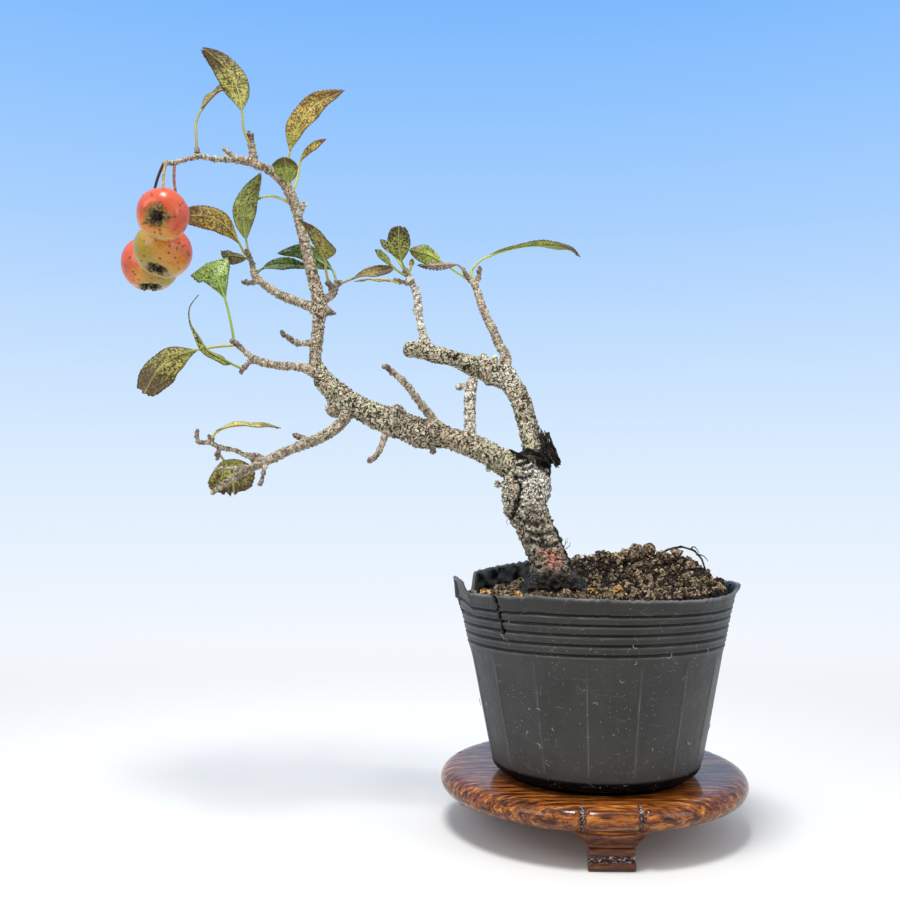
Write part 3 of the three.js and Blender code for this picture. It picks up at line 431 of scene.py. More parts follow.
# %% Paint chips for the bark
CHIPS = {name: np.array(paint(*rgb)[:3]) for name, rgb in {
    "chalk": (250, 248, 240), "pale": (238, 232, 212), "mid": (206, 190, 162), "bark": (158, 140, 114),
    "crack": (62, 50, 40), "twig": (172, 144, 114), "tip": (108, 76, 60), "char": (22, 20, 21),
    "tawny": (192, 162, 122), "rust": (216, 96, 28), "moss": (204, 204, 164), "soilstain": (98, 78, 58),
    "tan": (224, 194, 146),
}.items()}
GROUND = {
    "plated": ("pale", "mid"), "mossy": ("mid", "moss"), "root": ("soilstain", "char"), "white": ("chalk", "pale"),
    "grey": ("mid", "tawny"), "brown": ("twig", "mid"), "streaked": ("bark", "mid"), "charred": ("char", "char"),
    "tawny": ("tawny", "mid"),
}


def ease(value, low, high):
    share = min(1, max(0, (value - low) / (high - low)))
    return share * share * (3 - 2 * share)


def band(value, low, high, soft):
    return ease(value, low - soft, low + soft) * ease(value, high + soft, high - soft)


def toward(first, second, share):
    return first + (second - first) * min(1, max(0, share))


print(len(CHIPS), "paint chips")

# %% Scars and deep fissures
# The middles of three patches, seen from the front
BULGE, RUST, CHALKY = (-18.5, 112), (-15.4, 87.8), (-27.5, 148)
# Each scar is a place, a radius and the depth of its hole; each lump a place on the front, a radius and a
# height; each fissure a path over the front of the trunk and a depth
SCARS = [(-45, -1.2, 154, 2.4, 1.4), (-22.1, -6.2, 136, 2.2, 0.35), (-108.8, -19.3, 119.7, 1.5, 0.4)]
LUMPS = [(-64.4, 135.6, 3.4, 1.3), (-55.2, 126.5, 6.5, 0.9)]
FISSURES = [
    ([(-26.6, 114.2), (-24.4, 110), (-26, 103.3), (-27.8, 99.8)], 1.1),
    ([(-26, 113.9), (-23.4, 113.2), (-21, 114.2)], 0.6),
    ([(-25, 117.6), (-20, 119.2), (-15.6, 117)], 0.5),
    ([(-23.5, 116.2), (-19, 117.4), (-14.6, 114.6)], 0.4),
    ([(-20.5, 104), (-19.2, 97), (-16, 91)], 0.15),
    ([(-24.5, 99.5), (-20.5, 98), (-16.5, 99.2)], 0.35),
    ([(-23, 96.2), (-19, 94.6), (-14.2, 96)], 0.35),
    ([(-21.5, 93), (-17.5, 91.2), (-12.5, 92.4)], 0.35),
    ([(-13.5, 104), (-13.2, 98), (-10, 90.5), (-7.5, 84)], 0.5),
]


def away(x, z, path):
    """Distance from a point on the front to a path of straight stretches."""
    best = 1e9
    for (ax, az), (bx, bz) in zip(path, path[1:]):
        length = (bx - ax) ** 2 + (bz - az) ** 2
        part = min(1, max(0, ((x - ax) * (bx - ax) + (z - az) * (bz - az)) / length))
        best = min(best, math.hypot(x - ax - part * (bx - ax), z - az - part * (bz - az)))
    return best


def charred(x, z, drift):
    """How far a point lies in the torn black bark at the fork, 0 to 1."""
    x, z = x + drift, z + 1.5 * drift
    left = band(z, 118.9, 122.4, 0.5) * ease(x, -27, -25)
    right = band(z, 117.2, 128.2, 0.8) * ease(x, -18.4, -17.2)
    edge = band(z, 107.5, 119, 0.8) * ease(x, -14.2, -12.8)
    strip = band(z, 126, 134, 0.8) * ease(x, -19.4, -18.2)
    return max(left, right, edge, strip)


print(len(SCARS), "scars,", len(FISSURES), "fissures")


# %% Mark one point of the bark
class Bark:
    """One point of the bark: how far it stands out in millimetres, its colour and its wetness."""

    def __init__(self, spot, facing, number):
        self.x, self.y, self.z = spot
        self.point, self.facing = Vector(spot), facing
        self.girth, self.look = table[number, 3], looks[owner[number]]
        self.way, self.to_tip = Vector(ways[number]), to_tip[number]
        self.thick = ease(self.girth, 1.3, 4.5)
        self.wet = 0.0

    def tint(self, chip, share):
        self.colour = toward(self.colour, CHIPS[chip], share)


def plates(b):
    """Plates with cracks between them, wrinkles across the limb, and two tones in clouds."""
    b.run = b.point.dot(b.way)
    b.flat = b.point - b.way * (b.run * 0.3)
    bent = b.flat / (1.0 + 0.45 * b.thick) + noise.noise_vector(b.point / 1.8) * 0.5
    (near, second, *_), (seed, *_) = noise.voronoi(bent)
    b.edge, b.plate = ease(second - near, 0.02, 0.32), noise.cell(seed * 7.3)
    b.grain, b.swirl = noise.noise(b.point / 0.8), noise.noise(b.point / 4.2)
    wrinkle = math.sin(2 * math.pi * b.run / 2.3 + 5 * b.swirl)
    b.crack = max(1 - b.edge, 0.7 * b.thick * ease(-wrinkle, 0.8, 1.0))
    b.out = ((0.1 + 0.26 * b.thick) * (b.edge - 0.75) + 0.16 * b.thick * (b.plate - 0.5)
             + (0.06 + 0.1 * b.thick) * b.grain)
    b.out += 0.55 * b.thick * noise.noise(b.point / 5.5) + 0.2 * b.thick * wrinkle
    light, second_tone = (CHIPS[chip] for chip in GROUND[b.look])
    b.colour = toward(light, second_tone, 0.5 + 1.6 * noise.noise(b.point / 3.1 + Vector((9, 0, 0))))
    b.tint("chalk", (b.plate - 0.7) * 1.2 * b.thick)
    b.tint("bark", (0.2 - b.plate) * 1.2)


def rings(b):
    """Rings round thin wood, dark young tips, and streaks along weathered twigs."""
    if b.girth < 2.4 and b.look != "root":
        phase = (b.run / 2.3 + 0.4 * noise.noise(b.point / 3)) % 1
        ring, line = (math.exp(-(((phase - peak) / wide) ** 2)) for peak, wide in ((0.5, 0.13), (0.72, 0.1)))
        b.out += (0.34 * ring - 0.14 * line) * (1 - b.thick)
        b.tint("pale", 0.3 * ring)
        b.tint("crack", line)
    if b.look in ("brown", "grey"):
        b.tint("tip", ease(b.to_tip, 5.5, 1.2) * 0.85)
    if b.look == "streaked":
        streak = noise.noise(Vector((b.point - b.way * b.run * 0.92) / 0.55))
        b.tint("bark", 0.35 + streak)
        b.out += 0.08 * streak
    b.tint("crack", b.crack * (0.12 + 0.22 * b.thick))


print(len(GROUND), "kinds of bark")


# %% Mark the trunk and the limbs
def trunk_marks(b):
    """The white bulge, pale bark painted whiter still as a painted highlight, its tan side, the stained low part,
    rust, the wet black foot, the torn fork, and fissures painted dark, partly as painted shade.
    """
    x, y, z = b.x, b.y, b.z
    bulge = ease(math.hypot((x - BULGE[0]) / 6.2, (z - BULGE[1]) / 7.5), 1.3, 0.6)
    # Pale bark and a painted highlight: the bulge is painted near white.
    b.tint("chalk", bulge * (0.4 + 0.6 * b.edge))
    b.tint("tan", ease(x + 0.3 * (z - 110), -15.5, -12.5) * band(z, 101, 117, 3) * 0.7)
    b.tint("bark", band(z, 90, 101.5, 2.5) * (x > -30) * (0.35 + 0.5 * ease(b.swirl, -0.3, 0.3)))
    low = ease(z + 2.5 * b.swirl, 95, 87)
    b.tint("soilstain", low * 0.9)
    b.out += low * 0.4 * noise.noise(b.flat / 1.3)
    off = math.hypot(x - RUST[0] + 0.25 * (z - 88), (z - RUST[1]) * 0.9)
    rust = ease(off + 1.8 * b.swirl, 5, 1.2) * ease(y, -13, -16)
    b.tint("rust", rust * (0.45 + 0.4 * b.edge) * ease(noise.noise(b.point / 1.6), -0.6, 0))
    b.tint("chalk", rust * 0.55 * ease(b.plate, 0.8, 0.9) * b.edge)
    base = ease(z + 3 * b.swirl + 1.2 * b.grain, 86, 81.5)
    b.tint("char", base * 0.97)
    b.out += base * 0.9 * noise.noise(b.point / 1.3)
    b.wet = max(rust * 0.5, base)
    char = charred(x, z, 1.1 * b.swirl + 0.4 * b.grain) if x > -32 else 0
    if char > 0:
        shreds = noise.noise(Vector((x * 1.3 + z * 0.9, y * 0.8, z * 0.3 - x * 0.45)))
        b.out = toward(b.out, 1.1 * shreds - 0.2, char)
        torn = toward(CHIPS["char"], CHIPS["bark"], ease(shreds, 0.25, 0.6) * 0.15)
        b.colour = toward(b.colour, torn, char)
    if b.facing[1] < 0.25:
        for path, depth in FISSURES:
            off = away(x + 0.8 * b.grain, z, path)
            if off < 1.2:
                groove = ease(off, 1.2, 0.3)
                b.out -= depth * groove
                # Painted near black, darker the deeper it is: partly the crack's own colour, partly painted shade in
                # it.
                b.tint("char", groove * min(1, 0.5 + depth))


def limb_marks(b):
    """Black splinters, and the brown, white and lumpy parts of the mossy limbs."""
    x, z = b.x, b.z
    if b.look == "charred":
        b.out += 0.5 * noise.noise(Vector((x * 1.3 + z * 0.8, b.y, z * 0.3 - x * 0.4)))
        b.colour = toward(CHIPS["char"], CHIPS["bark"], 0.2 * ease(noise.noise(b.point / 0.6), 0, 0.5))
    if b.look == "mossy":
        browner = max(band(x, -68, -44, 5) * (z < 140), band(z, 121, 142, 3) * (x > -27))
        b.tint("bark", browner * (0.3 + 0.6 * noise.noise(b.point / 4)))
        white = ease(math.hypot((x - CHALKY[0]) / 6.5, (z - CHALKY[1]) / 6), 1.1, 0.5)
        b.tint("chalk", 0.6 * white * b.edge)
        for lump_x, lump_z, wide, tall in LUMPS:
            b.out += tall * ease(math.hypot(x - lump_x, z - lump_z), wide, 0) * (1 + 0.5 * b.grain)
        if -50 < x < -37 and z < 130:
            b.tint("twig", 0.3 + noise.noise(b.point / 2.5))


def scars(b):
    """Round scars of cut branches: a raised lip, a hole, and dark rings."""
    for x, y, z, wide, depth in SCARS:
        gap = math.hypot(b.x - x, b.z - z) if b.facing[1] < 0.2 and abs(b.y - y) < 6 else 9
        if gap < wide:
            share = gap / wide
            lip = 0.35 * math.exp(-((share - 0.72) / 0.16) ** 2)
            b.out = toward(b.out, lip - depth * ease(share, 0.55, 0.15), 0.85)
            outer_ring, inner_ring = (ease(abs(share - place), 0.16, 0.04) for place in (0.88, 0.38))
            b.tint("crack", max(ease(share, 0.5, 0.3) * min(1, depth), 0.8 * outer_ring, 0.7 * inner_ring))


print("marks ready")


# %% Work out relief and paint
def bark_at(spot, facing, number):
    b = Bark(spot, facing, number)
    plates(b)
    rings(b)
    if b.look in ("plated", "mossy", "root") and b.girth > 1.5:
        trunk_marks(b)
    limb_marks(b)
    scars(b)
    return b


facings = np.zeros(len(bark.vertices) * 3)
bark.vertices.foreach_get("normal", facings)
facings = facings.reshape(-1, 3)
marked = [bark_at(spot, facing, number) for spot, facing, number in zip(spots, facings, nearest)]
girths = table[nearest, 3]
outs = np.clip([b.out for b in marked], -0.32 * girths, 0.32 * girths)
bark.vertices.foreach_set("co", (spots + facings * outs[:, None]).ravel())
tint = bark.attributes.new("bark_tint", "FLOAT_COLOR", "POINT")
tint.data.foreach_set("color", np.array([(*b.colour, 1) for b in marked], np.float32).ravel())
for name, values in (("wetness", [b.wet for b in marked]), ("calm", np.clip(2.6 - girths, 0, 1))):
    bark.attributes.new(name, "FLOAT", "POINT").data.foreach_set("value", np.array(values, np.float32))
print("relief from", outs.min().round(2), "to", outs.max().round(2), "mm")

# %% [markdown]
# Torn bark stands off the fork in thin black shards, too thin to survive the remesh. They are tapered bars
# added afterwards to the same skin, with a few dry whiskers at the trunk's foot.

# %% Add shards and whiskers
SHARDS = [
    [(-17.6, -10.5, 121.5, 0.8), (-16.9, -10.5, 125.5, 0.6), (-17.4, -9.5, 129.3, 0.12)],
    [(-15.8, -10.5, 121, 0.8), (-15.3, -10.2, 125, 0.6), (-15.8, -9.5, 129, 0.12)],
    [(-14.6, -10, 120, 0.8), (-13.9, -9.8, 123.5, 0.6), (-14.3, -9, 126.6, 0.12)],
    [(-15.5, -11.5, 124.5, 0.6), (-13, -11, 120.8, 0.6), (-10.9, -10, 117.6, 0.2)],
    [(-14, -10.5, 125.3, 0.5), (-12.6, -10, 122, 0.6), (-10.8, -9.2, 118.6, 0.25)],
    [(-16.5, -12.6, 122.6, 0.6), (-14, -12.2, 119.6, 0.6), (-12.3, -11.5, 116.4, 0.2)],
    [(-18, -13, 121.5, 0.5), (-15.8, -13, 118.8, 0.5), (-14, -12.6, 116.6, 0.2)],
    [(-14.8, -10, 119, 0.7), (-14.4, -9.8, 115.5, 0.5), (-14.9, -9.6, 112.2, 0.2)],
    [(-24.4, -12, 121, 0.5), (-22, -12.5, 122.2, 0.5), (-19, -12.8, 121.6, 0.5), (-16.5, -12.5, 120, 0.4)],
    [(-27.4, -9.5, 122.6, 0.25), (-25.8, -11, 121.5, 0.5), (-23, -12.6, 120.6, 0.5), (-19, -13.6, 119.6, 0.5),
     (-15.5, -13.8, 118.4, 0.3)],
]
random.seed(17)
for _ in range(26):
    x = random.uniform(-21, -13)
    z = random.uniform(117.5, 121 if x < -18 else 127)
    reach, lean = random.uniform(1.5, 3), random.uniform(-0.15, 0.5)
    depth = -13.4 + 0.16 * (z - 117) + random.uniform(-0.4, 0.6)
    SHARDS.append([(x - reach * lean, depth, z + reach * 0.8, 0.15),
                   (x, depth - 0.3, z, random.uniform(0.25, 0.45)),
                   (x + reach * (0.3 + lean), depth, z - reach * 0.7, 0.12)])
WHISKERS = [
    [(-11, -13.5, 90.2, 0.12), (-9.7, -14, 92, 0.08), (-9, -14.5, 94, 0.04)],
    [(-10.8, -13.5, 90, 0.12), (-8.9, -14, 90.8, 0.08), (-8.2, -14.5, 92.4, 0.04)],
    [(-9.8, -14, 91.8, 0.08), (-9.9, -14.2, 93, 0.05), (-9.6, -14.4, 93.8, 0.03)],
    [(-27.5, -10.5, 101.5, 0.12), (-28.6, -11, 99.6, 0.08), (-28.4, -11, 97.8, 0.05)],
]
shards = bars([sampled(shard, 0.8) for shard in SHARDS + WHISKERS], 6)
shards.attributes.new("wetness", "FLOAT", "POINT")
shard_tint = shards.attributes.new("bark_tint", "FLOAT_COLOR", "POINT")
for vertex, point_tint in zip(shards.vertices, shard_tint.data):
    brownish = ease(noise.noise(Vector((vertex.co.x * 1.2, vertex.co.y, vertex.co.z / 3))), 0.05, 0.45)
    point_tint.color = (*toward(CHIPS["char"], CHIPS["bark"], 0.22 * brownish), 1)
    vertex.co += noise.noise_vector(vertex.co / 1.1) * 0.35
wood = bmesh.new()
wood.from_mesh(bark)
wood.from_mesh(shards)
trunk_mesh = mesh_of(wood)
print("wood with shards:", len(trunk_mesh.polygons), "faces")

# %% [markdown]
# The bark's paint comes from the points. Its finish adds what is finer than them: pale flecks, dark pits
# and a fine rough bump. Where the foot is wet the roughness drops, which is all that wetness is to a shader.

# %% The bark's finish
rind = Finish("bark", Roughness=0.85, Specular_IOR_Level=0.35)
tone = rind.carried("bark_tint", "Color")
red = rind.node("SeparateColor", Color=tone).outputs[0]
quiet = rind.times(rind.most(rind.carried("calm"), rind.times(rind.between(red, 0.8, 0.95), 0.9)), 0.42)
lines = rind.maths("ABSOLUTE", rind.maths("SUBTRACT", rind.clouds(1.45, 0.6, 0.5, bend=0.7), 0.5))
lines = rind.most(rind.between(lines, 0.028, 0.062), quiet)
pits = rind.most(rind.between(rind.clouds(0.9, 3, 0.65), 0.42, 0.48), quiet)
dark = rind.tinted(tone, 0.1, 0.085, 0.07)
bright = rind.mix(0.18, rind.tinted(tone, 1.2, 1.2, 1.17), paint(252, 248, 236))
speckled = rind.mix(rind.plus(pits, 0.8, 0.2), dark, bright)
rind.coat = rind.mix(lines, dark, speckled)
burnt = rind.between(red, 0.13, 0.04)
rind.lay(burnt, rind.mix(pits, dark, tone))
rind.colour()
rind.drive("Roughness", rind.between(rind.carried("wetness"), 1.6, -0.25))
rind.bump(lines, 0.3)
rind.bump(rind.clouds(0.5, 5, 0.75), 0.25)
finished("grown_wood", trunk_mesh, "trunk", "bark", rind.material)

# %% [markdown]
# ## Leaves
# Late October leaves: leathery, toothed, folded along the rib, and each with its own age, from glossy green
# to tan. A leaf could be a flat picture with a cut-out, but then its edge would be paper. Here a grid is
# laid along the leaf's route, narrowed to the outline with its teeth, folded and waved, and given a real
# thickness. A tapering bar makes the stalk and runs on as the midrib.

# %% The leaves' routes
# Each leaf: its slot's colour, its age, how many stretches of the route are stalk, its half width and where it is
# widest, the way to its right side, its fold in degrees, and its route
LEAVES = {
    "leaf_top": ("green", "olive", 2, 4.9, 0.45, (0.85, 0.15, 0.5), 12, [
        [-115, -3, 226.5], [-116.8, -5, 231], [-117.3, -6, 237], [-119, -6, 245], [-123.3, -7, 252.3],
        [-131.8, -9, 258.9]]),
    "leaf_top_narrow": ("brown", "bronze", 3, 3.4, 0.5, (-0.62, 0.72, 0.35), 10, [
        [-131.3, -10, 222], [-132, -9, 228.5], [-132.5, -7, 233], [-131.4, -5, 238], [-128.3, -1, 244.5],
        [-125, 1, 248], [-122.4, 3, 250.7]]),
    "leaf_upper_right": ("brown", "gold", 2, 4.9, 0.5, (-0.7, 0.2, 0.6), 12, [
        [-103.6, 2, 214.4], [-104, 6, 221], [-103, 6, 227.5], [-100.5, 6, 236], [-94, 5, 243.5], [-82, 3, 249]]),
    "leaf_cupped": ("green", "lime", 1, 4.7, 0.78, (1, 0, 0), -20, [
        [-103, 2, 213], [-102.2, -1.2, 213.8], [-102, -3, 216], [-102.4, -5, 218.7], [-102.4, -9, 220.5]]),
    "leaf_small_upper": ("brown", "gold", 2, 1.7, 0.5, (-0.6, 0.3, 0.7), 10, [
        [-101.6, 2, 211], [-100.2, 6.5, 219], [-99.5, 7.5, 224.6], [-95.2, 6.5, 229], [-90, 5.5, 232]]),
    "leaf_hidden": ("green", "lime", 3, 2.4, 0.5, (0, 1, 0.4), 10, [
        [-100.5, 2, 207], [-106.6, 4, 210.5], [-110, 7, 212], [-114, 11.5, 212.7], [-118, 15, 213],
        [-122, 17, 211.5]]),
    "leaf_knot_yellow": ("yellow", "gold", 1, 4.5, 0.55, (0.3, 0.2, 0.9), 10, [
        [-118.8, 8.2, 191.6], [-120, 5, 194.6], [-123, 1, 199], [-128.3, -3, 201.8], [-137.5, -6, 201.3]]),
    "leaf_knot_upright": ("green", "sage", 1, 4.3, 0.55, (1, 0.1, 0.1), 12, [
        [-117.6, 9.6, 192], [-118.6, 10, 197], [-119.5, 9.5, 203.5], [-118.5, 8.5, 210.5], [-112.8, 7, 221]]),
    "leaf_knot_small": ("dark", "umber", 1, 3.2, 0.6, (0, 0.5, 1), 20, [
        [-116.6, 9, 189.5], [-117.8, 6, 189.8], [-121.2, 2, 189.6], [-125.6, -2, 188.9]]),
    "leaf_knot_glossy": ("dark", "glossy", 1, 2.7, 0.55, (0, 0.3, 1), 12, [
        [-115, 8, 184.5], [-112.8, 9, 187], [-108.5, 10, 188.5], [-103.4, 11, 189], [-95.8, 12, 187.9]]),
    "leaf_spur_dark": ("dark", "glossy", 1, 3.3, 0.5, (0.3, 0.1, 1), 12, [
        [-86, 3.8, 180.4], [-88, 7, 186], [-92.4, 7.5, 189], [-98.4, 7, 192.6], [-107.6, 6, 191.6]]),
    "leaf_spur_triangle": ("yellow", "olive", 2, 3.9, 0.22, (0.85, 0.2, -0.35), -25, [
        [-88.4, 1, 179.5], [-89.3, 0, 184], [-89.6, -1, 187.6], [-91.2, -4, 191.5], [-94, -7, 195.5],
        [-97.4, -9, 199.6]]),
    "leaf_spur_mottled": ("brown", "bronze", 1, 2.2, 0.6, (0, 0.3, 1), 10, [
        [-85.2, 2.4, 180], [-80.8, 3.6, 182.2], [-76, 4, 184.2], [-70.5, 4, 185], [-66, 5.5, 186.5]]),
    "leaf_shoot_thin": ("yellow", "tan", 1, 1.8, 0.5, (0, 1, 0.2), 8, [
        [-64.5, 1, 180], [-67.4, -1, 180.3], [-71, -2, 180.5], [-75.3, -4, 180.3], [-79.3, -5, 179.4]]),
    "leaf_shoot_upright": ("dark", "spotted", 1, 4.2, 0.6, (1, 0, 0), 15, [
        [-62.2, 1.8, 184.6], [-63.4, -1, 187], [-64.3, -3, 191.5], [-64.3, -4, 199]]),
    "leaf_shoot_narrow": ("green", "sage", 1, 1.5, 0.6, (0.5, 0.3, 0.8), 10, [
        [-62.6, 1.4, 182.8], [-66, -1.8, 184.6], [-69, -5, 187.5], [-72, -8, 189.5]]),
    "leaf_shoot_dark": ("dark", "spotted", 1, 1.5, 0.6, (0.7, 0, 0.7), 10, [
        [-62.5, 2, 184.5], [-65.8, 6, 190.3], [-68.7, 8, 194.4], [-71.6, 9, 197.5]]),
    "leaf_shoot_tiny": ("yellow", "tan", 1, 1, 0.5, (1, 0, 0.3), 10, [
        [-61.6, 2, 183.5], [-60.3, -1.6, 184.8], [-59.8, -3.4, 187.5]]),
    "leaf_right_green": ("green", "lime", 2, 3.5, 0.6, (0.4, 0.2, 0.9), 12, [
        [-40.8, 10.4, 183.4], [-45.3, 9.6, 186.2], [-49.8, 8, 189], [-54.6, 7, 191.4], [-61.5, 6, 193]]),
    "leaf_right_dry": ("brown", "dry", 1, 1.9, 0.5, (0, 0.4, 1), 25, [
        [-42, 9.6, 186], [-44.6, 4, 187], [-48.7, 1, 186.4], [-53.8, -2, 185.4], [-58.8, -5, 184.8]]),
    "leaf_right_long": ("green", "lime", 3, 3.3, 0.6, (0, 1, -0.14), 8, [
        [-38, 10.5, 181.5], [-39.6, 12, 186.5], [-37.2, 12.5, 190], [-33, 12.5, 192.5], [-27.6, 12, 194.3],
        [-20.5, 12, 195.7], [-13.5, 12, 196], [-8.3, 11, 195.3], [-4.2, 10, 193.6], [-0.5, 9, 190]]),
    "leaf_left_big": ("green", "olive", 2, 6, 0.55, (-0.5, 0.2, 0.8), 14, [
        [-117.3, -15.4, 156], [-123, -16, 155.4], [-128.2, -17, 154.3], [-134.4, -18, 152.3], [-140, -19, 148],
        [-145.2, -20, 138.6]]),
    "leaf_left_tall": ("green", "fresh", 2, 7.2, 0.84, (0.9, 0, 0.43), 14, [
        [-117.2, -14.6, 157.6], [-118, -15.5, 163], [-119.6, -16, 170], [-121.2, -17, 175], [-123.6, -16.5, 180],
        [-126.2, -13, 183.3], [-128, -8, 184.5]]),
    "leaf_left_curled": ("dark", "spotted", 1, 2.9, 0.28, (0.3, 1, 0.3), 8, [
        [-114.8, -13, 148.7], [-117.6, -16, 149.8], [-120, -19, 151], [-124, -21, 153.2], [-127, -22, 157.7],
        [-129.6, -22, 162.5], [-130, -21, 167.2], [-128, -18, 172]]),
    "leaf_lower_arch": ("yellow", "tan", 1, 2.8, 0.6, (0, 1, 0.35), 8, [
        [-124.7, -13, 125.6], [-122.4, -15.5, 128], [-119.5, -17, 129.2], [-114.4, -18, 129.8], [-107.4, -18, 129.7],
        [-99.8, -17, 128.8]]),
    "leaf_lower_hanging": ("yellow", "olive", 1, 8.2, 0.5, (1, 0, 0.05), 10, [
        [-122, -14, 121], [-121, -11, 119], [-118.7, -9.5, 114], [-117.4, -9, 105.4]]),
}
# How full a leaf's foot and tip are, how much of its end is missing, how ragged the end and the edge are, and
# how far it leans over to its right half
OUTLINES = {
    "leaf_left_big": (1.1, 0.8, 0.2, 0.08, 0.08, 0), "leaf_left_tall": (1.35, 0.4, 0.0, 0.1, 0.12, 0),
    "leaf_left_curled": (1.0, 6, 0, 0, 0.05, 0), "leaf_lower_hanging": (0.7, 0.6, 0.16, 0.26, 0.14, 0),
    "leaf_top": (1.0, 0.75, 0.05, 0.1, 0.1, 0), "leaf_upper_right": (1.1, 0.75, 0.04, 0.1, 0.16, 0),
    "leaf_shoot_upright": (0.9, 0.45, 0.06, 0.06, 0.1, 0), "leaf_right_dry": (0.9, 0.9, 0.05, 0.1, 0.6, 0),
    "leaf_lower_arch": (1.0, 0.8, 0.04, 0.12, 0.25, 0), "leaf_right_long": (1.0, 0.8, 0.05, 0.1, 0.35, 0),
    "leaf_cupped": (1.0, 0.4, 0.02, 0.04, 0.06, 0), "leaf_knot_glossy": (1.0, 0.8, 0.02, 0.05, 0.2, 0),
    "leaf_spur_triangle": (0.8, 1.3, 0.02, 0.05, 0.1, 0.62), "leaf_knot_yellow": (1.2, 0.5, 0.14, 0.08, 0.12, 0),
    "leaf_knot_small": (0.7, 0.5, 0.22, 0.2, 0.2, 0),
}
print(len(LEAVES), "leaves")


# %% Shape one leaf
TOOTH = 1.4
VEINS, VEIN_LEAN = 8.5, 0.3
BLADE_WALL = 0.28
RIB_STEPS, RIB_END = 48, 0.92


def outline(share, widest, foot, tip):
    """Half the width of a leaf at a share of its length, 1 where it is widest."""
    if share < widest:
        return math.sin(math.pi / 2 * share / widest) ** foot
    return max(0, math.cos(math.pi / 2 * (share - widest) / (1 - widest))) ** tip


def thickened(bm, thickness):
    """Gives a sheet a wall by moving its copy along the sheet's own normals."""
    bm.normal_update()
    ways_down = {vertex.index: vertex.normal.copy() for vertex in bm.verts}
    places = {vertex.index: vertex.co.copy() for vertex in bm.verts}
    count = len(bm.verts)
    grown = bmesh.ops.extrude_face_region(bm, geom=bm.faces[:])["geom"]
    made = [part for part in grown if isinstance(part, bmesh.types.BMVert)]
    tree = kdtree.KDTree(count)
    for i in range(count):
        tree.insert(places[i], i)
    tree.balance()
    for vertex in made:
        vertex.co -= ways_down[tree.find(vertex.co)[1]] * thickness
    bmesh.ops.recalc_face_normals(bm, faces=bm.faces[:])


def leaf_mesh(name):
    _, _, petiole, wide, widest, side, fold, route = LEAVES[name]
    foot, tip, missing, ragged, teeth_deep, lean = OUTLINES.get(name, (1.1, 0.8, 0.02, 0.04, 0.09, 0))
    points = np.array(route, float)
    start = petiole / (len(route) - 1)
    turn = math.radians(fold)
    seed = sum(map(ord, name)) % 97
    length = np.linalg.norm(np.diff(points[petiole:], axis=0), axis=1).sum()
    rows = round(min(76, max(36, length * 2.8)))
    bm = bmesh.new()
    mapping = bm.loops.layers.uv.new("leaf")
    bmesh.ops.create_grid(bm, x_segments=16, y_segments=rows, size=1)
    for face in bm.faces:
        for loop in face.loops:
            loop[mapping].uv = ((loop.vert.co.x + 1) / 2, (loop.vert.co.y + 1) / 2)

    def frame_at(share):
        here = along(points, share)
        way = along(points, min(1, share + 0.01)) - along(points, max(0, share - 0.01))
        way /= np.linalg.norm(way)
        across = np.array(side, float)
        across -= way * across.dot(way)
        across /= np.linalg.norm(across)
        return here, across, np.cross(way, across)

    for vertex in bm.verts:
        u, s = vertex.co.x, min(1, max(0, (vertex.co.y + 1) / 2))
        torn = ragged * (0.5 + 0.5 * noise.noise(Vector((u * wide / 1.6, seed, 0)))) + 0.4 * ragged * abs(u)
        reach = s * (1 - torn * s ** 3)
        here, across, normal = frame_at(start + (1 - start) * reach)
        tooth = (s * length / TOOTH + 0.2 * u + seed) % 1
        teeth = 1 - teeth_deep * ease(s, 0.25, 0.5) * tooth * (0.6 + 0.4 * noise.noise(Vector((s * 9, u, seed))))
        full = outline(s * (1 - missing), widest, foot, tip)
        half = max(0.1, wide * full * teeth * (1 + (lean if u > 0 else -lean)))
        wave = 0.14 * math.sin(2 * math.pi * (2.1 * s + seed / 97) + 1.4 * (u > 0)) * u * u
        rise = abs(u) ** 1.35 * math.sin(turn) + wave + 0.08 * noise.noise(Vector((u * 1.5, s * 4, seed)))
        place = here + across * (u * half * math.cos(turn)) + normal * (rise * half)
        vein = abs(((s - VEIN_LEAN * abs(u)) * VEINS + seed * 0.1) % 1 - 0.5) * 2
        groove = 0.1 * math.exp(-((u / 0.09) ** 2)) + 0.1 * ease(vein, 0.72, 0.98) * ease(abs(u), 1, 0.8)
        pucker = 0.06 * noise.noise(Vector(place) / 0.8)
        vertex.co = place - normal * (groove - pucker) * min(1, half / 2)
    thickened(bm, BLADE_WALL)

    rib = []
    rib_reach = start + (1 - start) * RIB_END
    for i in range(RIB_STEPS + 1):
        share = i / RIB_STEPS * rib_reach
        here, across, normal = frame_at(share)
        blade = max(0, (share - start) / (1 - start))
        radius = 0.48 - 0.08 * min(1, share / start) if blade == 0 else 0.36 * (1 - blade) ** 1.8 + 0.03
        rib.append((*(here - normal * (0.12 + 0.55 * radius if blade > 0 else 0.1)), radius))
    bar = bars([rib], 8)
    first = len(bm.verts)
    bm.from_mesh(bar)
    bpy.data.meshes.remove(bar)
    bm.verts.ensure_lookup_table()
    centres = np.array([point[:3] for point in rib])
    for vertex in bm.verts[first:]:
        share = np.argmin(((centres - np.array(vertex.co)) ** 2).sum(1)) / RIB_STEPS * rib_reach
        for loop in vertex.link_loops:
            loop[mapping].uv = (0.5, max(0, (share - start) / (1 - start)))
    return mesh_of(bm)


print("a trial leaf has", len(leaf_mesh("leaf_left_big").polygons), "faces")

# %% [markdown]
# Each age of leaf is one recipe with other paints: a ground tone, a second tone in clouds, a brown that
# creeps in from the tip and edge, flecks, and pale veins. The veins are drawn on the leaf's own map, across
# and along the blade, because they must bend with it.

